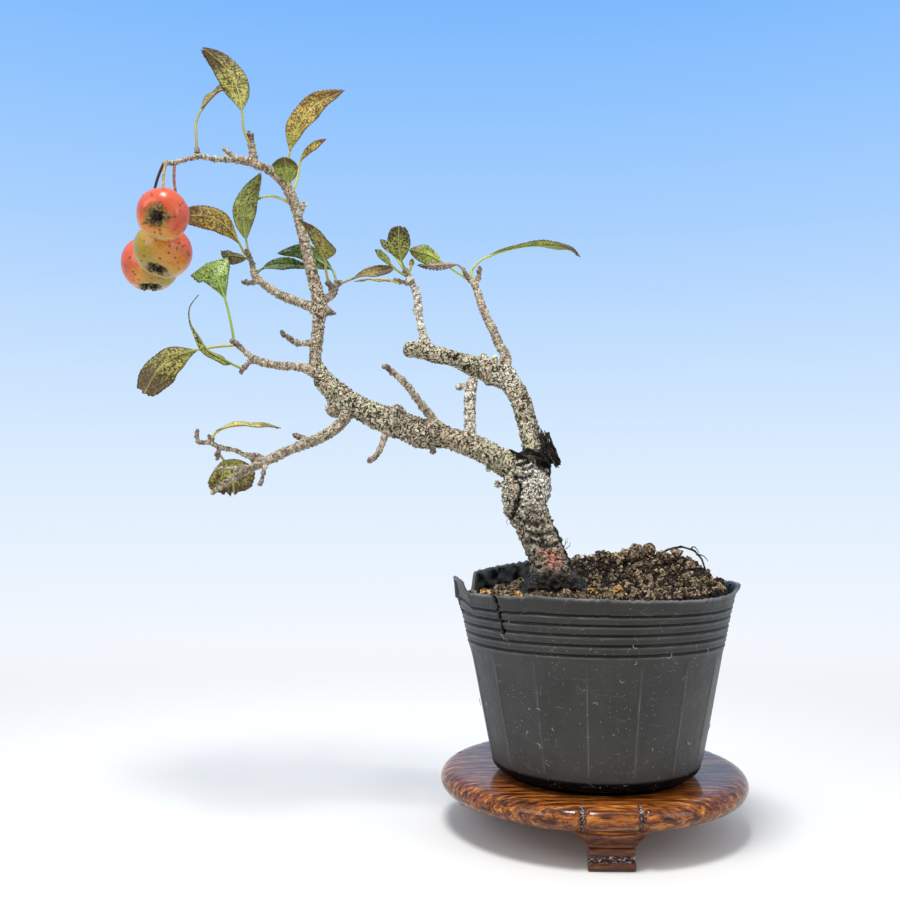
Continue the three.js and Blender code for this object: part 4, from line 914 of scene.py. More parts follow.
# %% The leaves' finishes
AGES = {
    "olive": dict(light=(190, 186, 98), dark=(92, 90, 36), age=(88, 56, 40), creep=0.5,
                  fleck=(76, 54, 30), flecks=0.85, young=(134, 142, 66), rib=(188, 186, 112), gloss=0.42),
    "gold": dict(light=(198, 176, 84), dark=(122, 98, 40), age=(124, 80, 36), creep=0.36,
                 fleck=(96, 60, 28), flecks=0.9, young=(132, 146, 62), rib=(196, 190, 100), gloss=0.42),
    "bronze": dict(light=(164, 142, 84), dark=(94, 72, 40), age=(78, 54, 36), creep=0.6,
                   fleck=(60, 40, 28), flecks=0.6, young=(126, 124, 62), rib=(166, 156, 86), gloss=0.5),
    "umber": dict(light=(126, 108, 62), dark=(64, 52, 28), age=(66, 46, 30), creep=0.5,
                  fleck=(40, 30, 20), flecks=0.6, young=(104, 116, 52), rib=(138, 138, 74), gloss=0.4),
    "sage": dict(light=(174, 182, 104), dark=(92, 104, 46), age=(82, 64, 38), creep=0.32,
                 fleck=(74, 68, 34), flecks=0.4, young=(128, 146, 66), rib=(178, 190, 112), gloss=0.4),
    "lime": dict(light=(170, 184, 88), dark=(88, 108, 34), age=(104, 72, 38), creep=0.5,
                 fleck=(84, 78, 34), flecks=0.35, young=(150, 172, 66), rib=(196, 206, 106), gloss=0.36),
    "glossy": dict(light=(92, 124, 54), dark=(30, 50, 20), age=(52, 42, 26), creep=0.3,
                   fleck=(22, 30, 14), flecks=0.3, young=(84, 112, 46), rib=(130, 156, 82), gloss=0.2),
    "fresh": dict(light=(146, 172, 92), dark=(46, 74, 28), age=(110, 100, 58), creep=0.3,
                  fleck=(40, 62, 22), flecks=0.25, young=(110, 144, 52), rib=(166, 192, 100), gloss=0.16),
    "spotted": dict(light=(168, 166, 84), dark=(66, 78, 28), age=(100, 74, 62), creep=0.46,
                    fleck=(50, 44, 24), flecks=0.85, young=(112, 128, 50), rib=(176, 184, 96), gloss=0.36),
    "tan": dict(light=(212, 204, 128), dark=(152, 140, 70), age=(134, 98, 54), creep=0.45,
                fleck=(104, 78, 44), flecks=0.55, young=(176, 180, 90), rib=(204, 200, 112), gloss=0.5),
    "dry": dict(light=(190, 174, 162), dark=(108, 90, 82), age=(80, 60, 52), creep=0.5,
                fleck=(60, 44, 40), flecks=0.5, young=(150, 140, 108), rib=(176, 164, 148), gloss=0.65),
}


def leaf_finish(name, light, dark, age, creep, fleck, flecks, young, rib, gloss):
    leaf = Finish("leaf_" + name, Roughness=gloss, Specular_IOR_Level=0.35, Subsurface_Weight=0.08,
                  Subsurface_Scale=0.001)
    parts = leaf.node("SeparateXYZ", Vector=leaf.node("UVMap", {"uv_map": "leaf"}).outputs[0])
    u, v = leaf.maths("ABSOLUTE", leaf.plus(parts.outputs[0], 2.0, -1.0)), parts.outputs[1]
    cloud, grain = leaf.clouds(2.6, 3), leaf.clouds(0.75, 5, 0.7)
    leaf.coat = leaf.two_tones(leaf.plus(cloud, 0.6, grain), 0.7, 0.9, dark, light)
    leaf.lay(leaf.between(leaf.plus(cloud, 0.5, v), 0.62, 0.34), young, 0.6)
    net = leaf.times(leaf.between(leaf.cells(1.2, "DISTANCE_TO_EDGE"), 0.11, 0.03), 0.5)
    leaf.lay(net, rib)
    side = leaf.maths("PINGPONG", leaf.times(leaf.plus(u, -VEIN_LEAN, v), VEINS), 0.5)
    leaf.lay(leaf.times(leaf.between(side, 0.07, 0.02), leaf.between(u, 0.95, 0.6)), rib, 0.35)
    edge = leaf.most(leaf.between(leaf.plus(cloud, 0.4, u), 1.04, 1.22),
                     leaf.between(leaf.plus(cloud, 0.8, v), 1.5 - creep, 1.75 - creep))
    leaf.lay(edge, leaf.two_tones(grain, 0.42, 0.6, (part // 2 for part in age), age), 0.8)
    least = 0.64 - 0.13 * flecks
    spots = leaf.between(leaf.plus(v, 0.1, leaf.clouds(0.8, 4, 0.66)), least + 0.03, least + 0.07)
    leaf.lay(leaf.times(spots, leaf.between(u, 0.02, 0.1)), fleck, 0.95)
    leaf.lay(leaf.between(u, 0.055, 0.02), rib, 0.65)
    leaf.colour()
    leaf.bump(grain, 0.14)
    leaf.bump(net, 0.06)
    return leaf.material


finishes = {name: leaf_finish(name, **paints) for name, paints in AGES.items()}
for name, (colour, age, *_) in LEAVES.items():
    finished("grown_" + name, leaf_mesh(name), name, "leaf_" + colour, finishes[age])

# %% [markdown]
# ## Fruits
# A hawthorn's fruit is a small apple: round, a little flattened, sunk at the stalk and at the dried flower.
# It is turned from half a profile with Spin. The dried flower has five sepals bent outwards and a tuft of
# stamens. The flesh is painted by two numbers kept on its points: how sunny it lies, and how near the eye.

# %% Turn a profile round
def turned(bm, profile, steps):
    """A closed shape from points of radius and height, turned about the z axis."""
    made = [bm.verts.new((radius, 0, height)) for radius, height in profile]
    edges = [bm.edges.new(pair) for pair in zip(made, made[1:])]
    bmesh.ops.spin(bm, geom=made + edges, cent=(0, 0, 0), axis=(0, 0, 1), angle=2 * math.pi, steps=steps,
                   use_merge=True)
    bmesh.ops.remove_doubles(bm, verts=bm.verts[:], dist=1e-4)
    bmesh.ops.recalc_face_normals(bm, faces=bm.faces[:])
    return bm


# %% The fruits' sizes
# Where each fruit hangs, its radius, the ways to its eye and its sunny side, how far red goes round it, how tall
# it is for its width, and how full its dried flower
FRUITS = {
    "fruit_front": dict(at=(-137.3, -27, 195.7), radius=8.25, eye=(-0.04, -0.93, -0.37), sun=(0.25, -0.1, 0.5),
                        even=0.95, tall=0.96, crown=0.85),
    "fruit_middle": dict(at=(-141.8, -11, 188.2), radius=9.6, eye=(-0.18, -0.32, -0.93), sun=(0.95, -0.1, 0.35),
                         even=-0.15, tall=0.92, crown=0.62),
    "fruit_back": dict(at=(-151.4, 6.8, 187.9), radius=9.75, eye=(0.05, -0.08, -1), sun=(-0.8, -0.1, 0.6),
                       even=0.4, tall=1.0, crown=0.75),
}
STALKS = {
    "fruit_front": ((214, 180, 132), [(-140.4, -14.4, 216.4), (-140.8, -15, 212), (-140, -16, 205)]),
    "fruit_middle": ((216, 154, 128), [(-137.8, -13, 216.9), (-138.2, -12, 212), (-138.6, -7.5, 205)]),
    "fruit_back": ((74, 54, 44), [(-141.2, -13.6, 216.8), (-144.5, -9.5, 212.5), (-148.5, -2, 206)]),
}


def height_of(radius, angle, tall):
    reach = radius * math.sin(angle)
    sunk = 2.6 * math.exp(-((reach / (0.42 * radius)) ** 2)) if angle > math.pi / 2 else 0
    dimple = 1.3 * math.exp(-((reach / (0.3 * radius)) ** 2)) if angle < math.pi / 2 else 0
    return tall * radius * math.cos(angle) + sunk - dimple


def grow(bm, mesh, slot_number):
    """Adds a mesh with its own finish, and leaves only the bmesh."""
    first = len(bm.faces)
    bm.from_mesh(mesh)
    bpy.data.meshes.remove(mesh)
    bm.faces.ensure_lookup_table()
    for face in bm.faces[first:]:
        face.material_index = slot_number


def fruit_mesh(at, radius, eye, sun, even, tall, crown):
    steps = 48
    angles = [math.pi * i / steps for i in range(steps + 1)]
    bm = turned(bmesh.new(), [(radius * math.sin(a), height_of(radius, a, tall)) for a in angles], 64)
    sunny, eyed = bm.verts.layers.float.new("sunny"), bm.verts.layers.float.new("eyed")
    turn = Vector((0, 0, -1)).rotation_difference(Vector(eye).normalized()).to_matrix()
    light = Vector(sun).normalized()
    for vertex in bm.verts:
        x, y, z = vertex.co
        reach, around = math.hypot(x, y), math.atan2(y, x)
        lobed = 1 + 0.012 * math.cos(5 * around) + 0.03 * noise.noise(vertex.co / radius)
        vertex.co = Vector((x * lobed, y * lobed, z * lobed))
        vertex[eyed] = math.exp(-((reach / (0.4 * radius)) ** 2)) if z < 0 else 0
        vertex[sunny] = (turn @ vertex.co).normalized().dot(light) + even

    eye_rim = 0.34 * radius
    calyx = bmesh.new()
    for i in range(5):
        first = len(calyx.verts)
        bmesh.ops.create_grid(calyx, x_segments=4, y_segments=8, size=1)
        calyx.verts.ensure_lookup_table()
        sepal = calyx.verts[first:]
        for vertex in sepal:
            u, s = vertex.co.x, min(1, max(0, (vertex.co.y + 1) / 2))
            out = eye_rim - 1.3 + crown * (2.9 + 1.1 * math.sin(3 * i + radius)) * s
            lift = crown * (0.8 * math.sin(math.pi * min(1, s * 1.15)) + 0.3 * abs(u))
            lift += 0.5 * noise.noise(Vector((u, s * 3, i + radius)))
            sunk = 2.6 * math.exp(-((out / (0.42 * radius)) ** 2))
            floor = -tall * math.sqrt(max(0, radius ** 2 - out ** 2)) + sunk
            half = crown * 1.05 * (1 - s ** 1.4) + 0.08
            vertex.co = Vector((out, u * half, floor - 0.1 - lift))
        around = Matrix.Rotation(2 * math.pi * (i + 0.12 * math.sin(7 * i)) / 5, 3, "Z")
        bmesh.ops.rotate(calyx, verts=sepal, matrix=around)
    thickened(calyx, 0.22)
    grow(bm, mesh_of(calyx), 1)
    random.seed(int(radius * 10))
    tuft = []
    for i in range(20):
        around, far = random.uniform(0, 2 * math.pi), random.uniform(0.2, 1) * eye_rim * 0.7
        base = (far * math.cos(around), far * math.sin(around), -tall * radius + 2.8, 0.24)
        lean = random.uniform(0.6, 1.15)
        tip = (base[0] * lean, base[1] * lean, -tall * radius + random.uniform(0.7, 1.9) + 2 * (0.8 - crown), 0.14)
        bend = tuple((a + b) / 2 + random.uniform(-0.3, 0.3) for a, b in zip(base[:3], tip[:3])) + (0.2,)
        tuft.append([base, bend, tip])
    grow(bm, bars(tuft, 4), 3)
    bmesh.ops.transform(bm, matrix=Matrix.Translation(at) @ turn.to_4x4(), verts=bm.verts[:])
    return bm


trial = fruit_mesh(**FRUITS["fruit_front"])
print("a fruit has", len(trial.faces), "faces")
trial.free()

# %% The fruits' finishes
flesh = Finish("fruit_skin", Roughness=0.24, Specular_IOR_Level=0.45, Subsurface_Weight=0.04,
               Subsurface_Scale=0.002)
flesh.shader.inputs["Subsurface Radius"].default_value = (1.0, 0.35, 0.15)
sunniness = flesh.plus(flesh.clouds(7, 4), 1.1, flesh.maths("ADD", flesh.carried("sunny"), -0.55))
sunniness = flesh.plus(flesh.clouds(1.1, 5, 0.65), 0.4, flesh.maths("ADD", sunniness, -0.2))
flesh.coat = flesh.two_tones(sunniness, -0.4, 0.3, (168, 144, 46), (222, 148, 66))
flesh.lay(flesh.between(sunniness, 0.15, 0.85), (216, 92, 64))
flesh.lay(flesh.between(flesh.clouds(1.0, 5, 0.75), 0.5, 0.64), (142, 96, 48), 0.5)
streaks, eyed = flesh.clouds(2.2, 5, 0.65), flesh.carried("eyed")
near_eye = flesh.two_tones(streaks, 0.4, 0.6, (92, 72, 34), (168, 142, 66))
flesh.lay(flesh.between(flesh.plus(streaks, 0.6, eyed), 0.36, 0.8), near_eye, 0.85)
flesh.lay(flesh.between(flesh.plus(streaks, 0.4, eyed), 0.76, 0.98), (34, 24, 20), 0.95)
dots = flesh.plus(flesh.clouds(1.2, 2), 0.16, flesh.cells(2.3))
flesh.lay(flesh.between(dots, 0.33, 0.24), (112, 62, 26), 0.8)
flesh.colour()
flesh.bump(flesh.clouds(0.7, 3), 0.04)
calyx = Finish("fruit_sepals", Roughness=0.8)
calyx.colour(calyx.two_tones(calyx.clouds(0.7, 4, 0.7), 0.4, 0.62, (66, 50, 30), (156, 134, 82)))
calyx.bump(calyx.clouds(0.4, 4), 0.15)
tuft = Finish("fruit_stamens", Roughness=0.85)
tuft.colour(tuft.two_tones(tuft.clouds(0.5, 3), 0.4, 0.65, (22, 16, 14), (74, 56, 38)))


def stalk_finish(name, tone):
    stalk = Finish(name, Roughness=0.55)
    shade = (round(part * 0.72) for part in tone)
    stalk.colour(stalk.two_tones(stalk.clouds(0.9, 4), 0.42, 0.62, shade, tone))
    stalk.bump(stalk.clouds(0.35, 3), 0.06)
    return stalk.material


for name, sizes in FRUITS.items():
    bm = fruit_mesh(**sizes)
    at, radius, way = Vector(sizes["at"]), sizes["radius"], Vector(sizes["eye"]).normalized()
    stalk_tone, stalk = STALKS[name]
    crown = [(*(at - way * radius * share), 0.55) for share in (1.2, 0.6)]
    grow(bm, bars([sampled([(*point, 0.5) for point in stalk] + crown, 0.8)], 8), 2)
    finished("grown_" + name, mesh_of(bm), name, "fruit", flesh.material, calyx.material,
             stalk_finish("stalk_of_" + name, stalk_tone), tuft.material)

# %% [markdown]
# ## Soil
# Potting soil is crumbs on crumbs. A displaced disc alone looks like mud, and thousands of fine grains would
# cost too much. So a turned body carries the heap's form down to the pot's floor, and seeded lumps of three
# sizes lie on it, the small ones with only twenty faces. A few tan pebbles, one loose root and fine root
# hairs come from the photograph.

# %% The heap's form
POT_Y, STAND_TOP, POT_GAP = -8, 18.6, 0.3
POT = dict(base=32.8, slope=0.2, wall=1, height=59.4)
SOIL_TOP = 77.2
TRUNK_FOOT = (-14.5, -13.5)


def soil_top(x, y):
    heap = 9.8 * math.exp(-(((x - 15) / 29) ** 4) - ((y - 12) / 15.5) ** 2)
    hollow = -2.5 * math.exp(-(((x + 33) / 10) ** 2) - ((y - 4) / 16) ** 2)
    return SOIL_TOP + 0.03 * x + heap + hollow


def inside(z):
    """The soil's radius at a height, just clear of the pot's wall."""
    return POT["base"] + POT["slope"] * (z - STAND_TOP) - POT["wall"] - 0.45


floor = STAND_TOP + 1.6
edge = inside(75.2)
soil = bmesh.new()
top_rings = [(edge * i / 44, SOIL_TOP) for i in range(45)]
sides = [(inside(60), 60), (inside(floor + 3), floor + 3), (inside(floor) - 3, floor), (0, floor)]
turned(soil, top_rings + sides, 144)
for vertex in soil.verts:
    x, y, z = vertex.co
    reach = math.hypot(x, y)
    y += POT_Y
    if z > SOIL_TOP - 0.1:
        at_wall = ease(reach / edge, 0.93, 1)
        rough = 0.9 * noise.noise(Vector((x / 2.1, y / 2.1, 1))) + 0.6 * noise.noise(Vector((x / 0.9, y / 0.9, 5)))
        z = soil_top(x, y) - 0.6 + rough - 2 * at_wall
        fit = inside(z) / edge
        x, y = x * fit, (y - POT_Y) * fit + POT_Y
    vertex.co = Vector((x, y, z))
print("soil body", len(soil.faces), "faces")

# %% Scatter crumbs and pebbles
# How many crumbs of each kind, how finely each is cut, and from what to what size
SPREADS = [(220, 3, 0.85, 1.7), (950, 2, 0.45, 0.95), (1000, 1, 0.25, 0.5)]
PEBBLES = [(-4, -33, 78, 1.8), (4, -31, 78.6, 1.6), (-36, -28, 77, 1.8), (-27, -36, 77.4, 1.6)]
CLODS = [(14, 6, 2.6), (18, 10, 2.4), (10, 4, 2.2), (27, 4, 2.2), (22, 13, 2.4), (31, 9, 1.9), (17, 0, 2),
         (34, 2, 1.8)]
# The heap's own body gets tone 0, the near black paint: painted shade in the gaps between the crumbs.
tone_layer = soil.verts.layers.float.new("tone")
for vertex in soil.verts:
    vertex[tone_layer] = 0


def crumb(batch, x, y, z, size, detail, tone, flat=0.8, turn=None):
    """One irregular lump; its tone is 0 for dark crumbs, 0.5 for brown and 1 for a tan pebble."""
    layer = batch.verts.layers.float.get("tone") or batch.verts.layers.float.new("tone")
    shape = Matrix.Diagonal((size, size * 0.85, size * flat, 1))
    place = Matrix.Translation((x, y, z)) @ (turn or Matrix()) @ shape
    made = bmesh.ops.create_icosphere(batch, subdivisions=detail, radius=1, matrix=place)["verts"]
    for vertex in made:
        for part, deep in ((0.9, 0.62), (0.42, 0.42), (0.18, 0.2)):
            vertex.co += noise.noise_vector(vertex.co / (size * part)) * size * deep
        vertex[layer] = tone


def poured(batch, heap):
    """Tips a batch of crumbs on the heap: many small batches are far quicker than one long one."""
    mesh = mesh_of(batch, False)
    heap.from_mesh(mesh)
    bpy.data.meshes.remove(mesh)
    return bmesh.new()


random.seed(11)
batch = bmesh.new()
for count, detail, small, large in SPREADS:
    for k in range(count):
        if k % 40 == 39:
            batch = poured(batch, soil)
        around, far = random.uniform(0, 2 * math.pi), 41 * math.sqrt(random.random())
        x, y = far * math.cos(around), POT_Y + far * math.sin(around)
        size = random.uniform(small, large)
        if far + size > inside(soil_top(x, y) - 1) - 0.2 or math.dist((x, y), TRUNK_FOOT) < 6:
            continue
        turn = random.uniform(0, 6)
        turn = Matrix.Rotation(turn, 4, Vector((random.random(), random.random(), 0.3)).normalized())
        stony = random.random() < (0.04 if y < -34 and x < 12 else 0.01)
        tone = random.uniform(0.8, 1) if stony else random.uniform(0.1, 0.62)
        crumb(batch, x, y, soil_top(x, y) - 0.4 + 0.35 * size, size, detail, tone, random.uniform(0.6, 0.95), turn)
for x, y, z, size in PEBBLES:
    crumb(batch, x, y, z, size, 3, 0.95)
for x, y, size in CLODS:
    crumb(batch, x, y, soil_top(x, y) + 0.5 * size, size, 2, random.uniform(0.3, 0.55), 0.9)
poured(batch, soil).free()
print("soil with crumbs", len(soil.faces), "faces")

# %% Lay the loose root and root hairs
ROOTLETS = [
    [(22, 5, 84, 0.5), (25, 5, 88, 0.45), (29.5, 5, 89.9, 0.4), (34.5, 4, 89.5, 0.4), (38, 3, 86.4, 0.35),
     (40, 2, 78, 0.3)],
    [(30, 5, 89.6, 0.3), (31, 4.4, 90.4, 0.2), (32.4, 4, 90.1, 0.1)],
    [(34.5, 4, 89.3, 0.35), (35.6, 3.4, 90.2, 0.25), (37.4, 3, 88.2, 0.12)],
    [(36.4, 3.4, 87.6, 0.3), (38.4, 2.4, 87.4, 0.2), (39.6, 1, 85.6, 0.1)],
    [(27, 5, 88, 0.3), (24.5, 3.5, 87.8, 0.2), (23, 2.5, 85.5, 0.1)],
]
for _ in range(110):
    around, far = random.uniform(0, 2 * math.pi), 37 * math.sqrt(random.random())
    x, y = far * math.cos(around), POT_Y + far * math.sin(around)
    if math.dist((x, y), TRUNK_FOOT) < 8:
        continue
    heading, reach = random.uniform(0, 6.3), random.uniform(1.2, 3.4)
    hair = []
    for k in range(4):
        px, py = x + reach * k / 3 * math.cos(heading + 0.5 * k), y + reach * k / 3 * math.sin(heading + 0.5 * k)
        height = soil_top(px, py) + 0.7 + random.uniform(0, 0.9) * math.sin(math.pi * k / 3)
        hair.append((px, py, height, 0.13 - 0.02 * k))
    ROOTLETS.append(hair)
root_mesh = bars([sampled(line, 0.9) for line in ROOTLETS], 6)
first = len(soil.verts)
soil.from_mesh(root_mesh)
soil.verts.ensure_lookup_table()
for vertex in soil.verts[first:]:
    vertex[tone_layer] = 0.2
    vertex.co += noise.noise_vector(vertex.co / 2) * 0.3
print(len(ROOTLETS), "roots and hairs")

# %% The soil's finish
earth = Finish("soil", Roughness=0.95, Specular_IOR_Level=0.25)
kind = earth.carried("tone")
grit = earth.clouds(1.0, 6, 0.78)
# Tone 0, near black, is painted shade on the heap's body between the crumbs; the crumbs lie from 0.1 upward.
earth.coat = earth.two_tones(kind, 0.05, 0.6, (34, 29, 26), (172, 152, 128))
earth.lay(earth.between(kind, 0.7, 0.85), (196, 156, 98))
# Painted light and painted shade: a brighter copy and a near black copy of the soil's colour, mixed in a fine noise.
shaded, lit = earth.tinted(earth.coat, 0.09, 0.08, 0.07), earth.tinted(earth.coat, 1.75, 1.7, 1.62)
earth.coat = earth.mix(earth.between(grit, 0.465, 0.54), shaded, lit)
earth.lay(earth.between(earth.clouds(0.35, 3, 0.8), 0.62, 0.7), (214, 196, 166), 0.6)
earth.colour()
earth.bump(grit, 0.5)
earth.bump(earth.clouds(0.25, 3, 0.7), 0.12)
finished("crumbled_soil", mesh_of(soil, False), "soil", "soil", earth.material)

# %% [markdown]
# ## The pot
# A cheap nursery pot blown from thin black polyethylene: soft bands round the upper third, flat panels below
# between fine mould lines, a rounded foot and a rim cut by hand, torn on the left. It is turned from one
# closed profile with its true wall. Then its points are moved: flattened into panels, and raised or torn at
# the rim. A displacement texture would do this too, but moving points keeps the tear where it belongs.

# %% The pot's profile
BANDS = dict(first=42.4, pitch=2.95, count=5)
PANELS, PANEL_TURN = 16, 258.4
HALF_PANEL = 180 / PANELS
# The rim's height above an even cut, angle by angle: the back stands high, the left is torn away but for a flap
RIM = [(0, 0.9), (20, 0.6), (50, 0.6), (80, 2.8), (100, 5), (115, 5.4), (132, 4.2), (150, 2.7), (151.6, -3.2),
       (168, -4), (183, -3.5), (184.4, 2.4), (186.5, 3.3), (196, 3), (200.5, 1), (204, -0.9), (222, -0.7), (240, 0),
       (270, -0.8), (310, -1.4), (335, -0.8), (352, 0.8), (360, 0.9)]
LOW_RINGS = (6.2, 8, 12, 16, 20, 24, 28, 32, 36, 38.5, 39.8)
INNER_RINGS = (58.6, 57.7, 56.8, 55.9, 55, 54, 53, 52, 51, 50, 48, 45, 42, 30, 16, 5)


def outer(h):
    return POT["base"] + POT["slope"] * h


def banded(h):
    """The wall's radius with its bands: narrow grooves, and a soft swell between them."""
    phase = (h - BANDS["first"]) / BANDS["pitch"]
    if -0.5 < phase < BANDS["count"] - 0.5:
        off = abs(phase - round(phase)) * BANDS["pitch"]
        return outer(h) - 0.75 * math.exp(-((off / 0.34) ** 2)) + 0.2 * math.sin(math.pi * min(1, off / 1.48))
    return outer(h)


top = POT["height"]
foot_angles = [math.radians(-78 + 12 * i) for i in range(7)]
profile = [(0, 0), (20, 0), (outer(0) - 3.6, 0), (outer(0) - 3.3, 1)]
profile += [(outer(0) - 3.3 + 4.2 * math.cos(a), 5.2 + 4.2 * math.sin(a)) for a in foot_angles]
profile += [(outer(h), h) for h in LOW_RINGS]
profile += [(banded(h), h) for h in (40.6 + 0.295 * i for i in range(61))]
profile += [(outer(top) + out, top + up) for out, up in ((0.5, -0.5), (0.45, -0.1), (-0.1, 0.05), (-0.6, -0.1))]
profile += [(outer(h) - POT["wall"], h) for h in INNER_RINGS]
profile += [(outer(0) - 2.2, 2.2), (outer(0) - 3.4, 1), (0, 1)]
pot = turned(bmesh.new(), profile, PANELS * 28)
print("pot", len(pot.faces), "faces")


# %% Flatten the panels, tear the rim
def rim_height(angle):
    even = float(np.interp(angle, *zip(*RIM)))
    return even + 0.35 * noise.noise(Vector((angle / 9, 0, 3))) + 0.55 * noise.noise(Vector((angle / 1.9, 4, 3)))


def outer_face(reach, angle, z):
    """Reach and shade of a point outside: flat panels between mould lines painted paler, partly as a painted
    highlight on their ridges; a painted highlight on the ledge under each band's groove and painted shade in the
    groove; a painted highlight on the lip; and a painted shadow on the foot.
    """
    below = ease(z, 41, 37) * ease(z, 2.5, 6)
    turn = (angle - PANEL_TURN) % (2 * HALF_PANEL) - HALF_PANEL
    flat = math.cos(math.radians(HALF_PANEL)) / math.cos(math.radians(turn))
    line = HALF_PANEL - abs(turn) < 0.41
    patchy = 0.55 + 0.45 * noise.noise(Vector((angle / 8, z / 3, 0)))
    # Paler along the mould lines: partly a painted highlight on their raised ridges.
    tone = 0.34 * below * line * patchy
    phase = (z - BANDS["first"]) / BANDS["pitch"]
    if -0.5 < phase < BANDS["count"] - 0.5:
        # A painted highlight on the ledge under each groove, which faces up to the light, and painted shade in the
        # groove itself.
        under = (round(phase) - phase) * BANDS["pitch"]
        tone = 0.34 * patchy * band(under, 0.4, 0.95, 0.2) - 0.5 * ease(abs(under), 0.45, 0.15)
    # A painted highlight along the lip.
    if z > top - 0.8:
        tone = 0.45 * patchy
    # A painted shadow on the foot: black towards the bottom.
    if z < 5.8:
        tone = -ease(z, 5.8, 3)
    return reach * (1 + below * (flat - 1) * 0.4) + 0.22 * below * line, tone


# The shade number paints the film: above 0 paler, below 0 near black. Outside it carries painted highlights, painted
# shade and a painted shadow; inside, the wall is painted darker with paler flecks in noise.
shade = pot.verts.layers.float.new("shade")
for vertex in pot.verts:
    x, y, z = vertex.co
    reach, angle = math.hypot(x, y), math.degrees(math.atan2(y, x)) % 360
    if reach > 28:
        spot = Vector((math.cos(math.radians(angle)), math.sin(math.radians(angle)), 0))
        if reach > outer(z) - 0.85 or z < 5:
            reach, vertex[shade] = outer_face(reach, angle, z)
        else:
            vertex[shade] = -0.4 + 0.75 * noise.noise(spot * 16 + Vector((0, 0, z / 1.2)))
            reach += 0.6 * noise.noise(spot * 14 + Vector((0, 0, z / 1.6))) * ease(z, 44, 52)
        reach += 0.25 * noise.noise(spot * 2 + Vector((0, 0, z / 22))) * ease(z, 2, 8)
    ramp = max(0, (z - 50) / (top - 50))
    z += ramp * rim_height(angle)
    side = (angle + 180) % 360 - 180
    leaning = 0.7 * noise.noise(Vector((angle / 14, 8, 0))) + 1.9 * math.exp(-((side / 16) ** 2))
    reach += ramp ** 2 * (leaning + 1.3 * band(angle, 184, 204, 2))
    reach -= 0.95 * ramp * math.exp(-(((angle - 270) / 24) ** 2))
    tear = angle - (221 + 0.9 * noise.noise(Vector((z / 1.1, 0, 9))) + (60 - z) * 0.17)
    if abs(tear) < 0.62 and z > 47.2 and reach > outer(z) - 0.7:
        reach -= 0.75
        # The tear is only a groove: it is painted black as painted shade of the opening.
        vertex[shade] = -1
    spot = math.radians(angle)
    vertex.co = Vector((reach * math.cos(spot), reach * math.sin(spot) + POT_Y, z + STAND_TOP + POT_GAP))
bmesh.ops.recalc_face_normals(pot, faces=pot.faces[:])
print("pot stands from", STAND_TOP + POT_GAP, "mm")

# %% [markdown]
# The pot has been through a growing season. White fibres stick to it: short bent bars, thinner than a
# needle. Its finish is nearly black with a broad soft sheen, paler scuffs and dust.

# %% Stick fibres on the pot
random.seed(29)
fibres = []
for _ in range(64):
    angle, z = random.uniform(0, 360), random.uniform(5, 57)
    heading, reach = random.uniform(0, 6.3), random.uniform(0.5, 2.4)
    fibre = []
    for k in range(4):
        far = reach * k / 3
        h = z + far * math.sin(heading + 0.6 * k)
        turn = math.radians(angle) + far * math.cos(heading + 0.6 * k) / 40
        radius = outer(h) + 0.05 + (0.25 * math.sin(math.pi * k / 3) if reach > 1.5 else 0)
        fibre.append((radius * math.cos(turn), radius * math.sin(turn) + POT_Y, h + STAND_TOP + POT_GAP, 0.085))
    fibres.append(fibre)
lint = bars(fibres, 4)
first = len(pot.faces)
pot.from_mesh(lint)
pot.faces.ensure_lookup_table()
for face in pot.faces[first:]:
    face.material_index = 1
print(len(fibres), "fibres")

# %% The pot's finishes
film = Finish("black_film", Roughness=0.5, Specular_IOR_Level=0.45)
film.coat = film.two_tones(film.clouds(14, 4), 0.35, 0.7, (39, 38, 36), (49, 48, 46))
light_and_shade_paint = film.carried("shade")
# Paler paint where the shade number is above 0: the painted highlights outside, and the paler flecks inside.
film.lay(film.between(light_and_shade_paint, 0.0, 1.0), (196, 196, 192))
# Near black where the shade number is below 0: painted shade and a painted shadow outside, the darker inner wall.
film.lay(film.between(light_and_shade_paint, -0.15, -0.7), (5, 5, 5))
streaky = film.clouds(1.6, 5, 0.7, where=film.stretched(1, 1, 0.35))
film.lay(film.between(streaky, 0.58, 0.8), (92, 92, 92), 0.3)
motes = film.between(film.plus(film.clouds(0.6, 2), 0.1, film.cells(1.4)), 0.18, 0.11)
film.lay(film.times(motes, film.between(film.clouds(6, 2), 0.46, 0.58)), (190, 184, 172), 0.75)
specks = film.between(film.cells(0.9), 0.15, 0.09)
film.lay(film.times(specks, film.between(film.clouds(8, 3), 0.5, 0.62)), (150, 146, 136))
scratch = film.between(film.cells(5.5, "DISTANCE_TO_EDGE", where=film.stretched(0.5, 1, 1.6)), 0.012, 0.004)
film.lay(film.times(scratch, film.between(film.clouds(4, 2), 0.55, 0.62)), (128, 128, 126), 0.4)
film.colour()
film.drive("Roughness", film.plus(film.clouds(3, 5), 0.22, 0.36))
# Less specular where the film is painted near black, which deepens the painted shade and the painted shadow.
film.drive("Specular IOR Level", film.plus(film.between(light_and_shade_paint, -0.7, -0.15), 0.4, 0.05))
film.bump(film.clouds(0.8, 5, 0.65), 0.05)
film.bump(film.clouds(5, 3), 0.12)
lint_finish = Finish("pale_lint", Roughness=0.8)
lint_finish.colour(lint_finish.mix(lint_finish.clouds(1, 2), paint(206, 200, 188), paint(150, 142, 128)))
finished("moulded_pot", mesh_of(pot), "pot", "pot", film.material, lint_finish.material)

# %% [markdown]
# ## The stand
# A round board of dark lacquered hardwood with a bull-nosed edge. Over each of its three feet the edge is
# fuller and hangs lower, between two carved V grooves. It is turned from its profile with Spin in fine
# steps, and the points over each foot are then moved to the fuller profile.

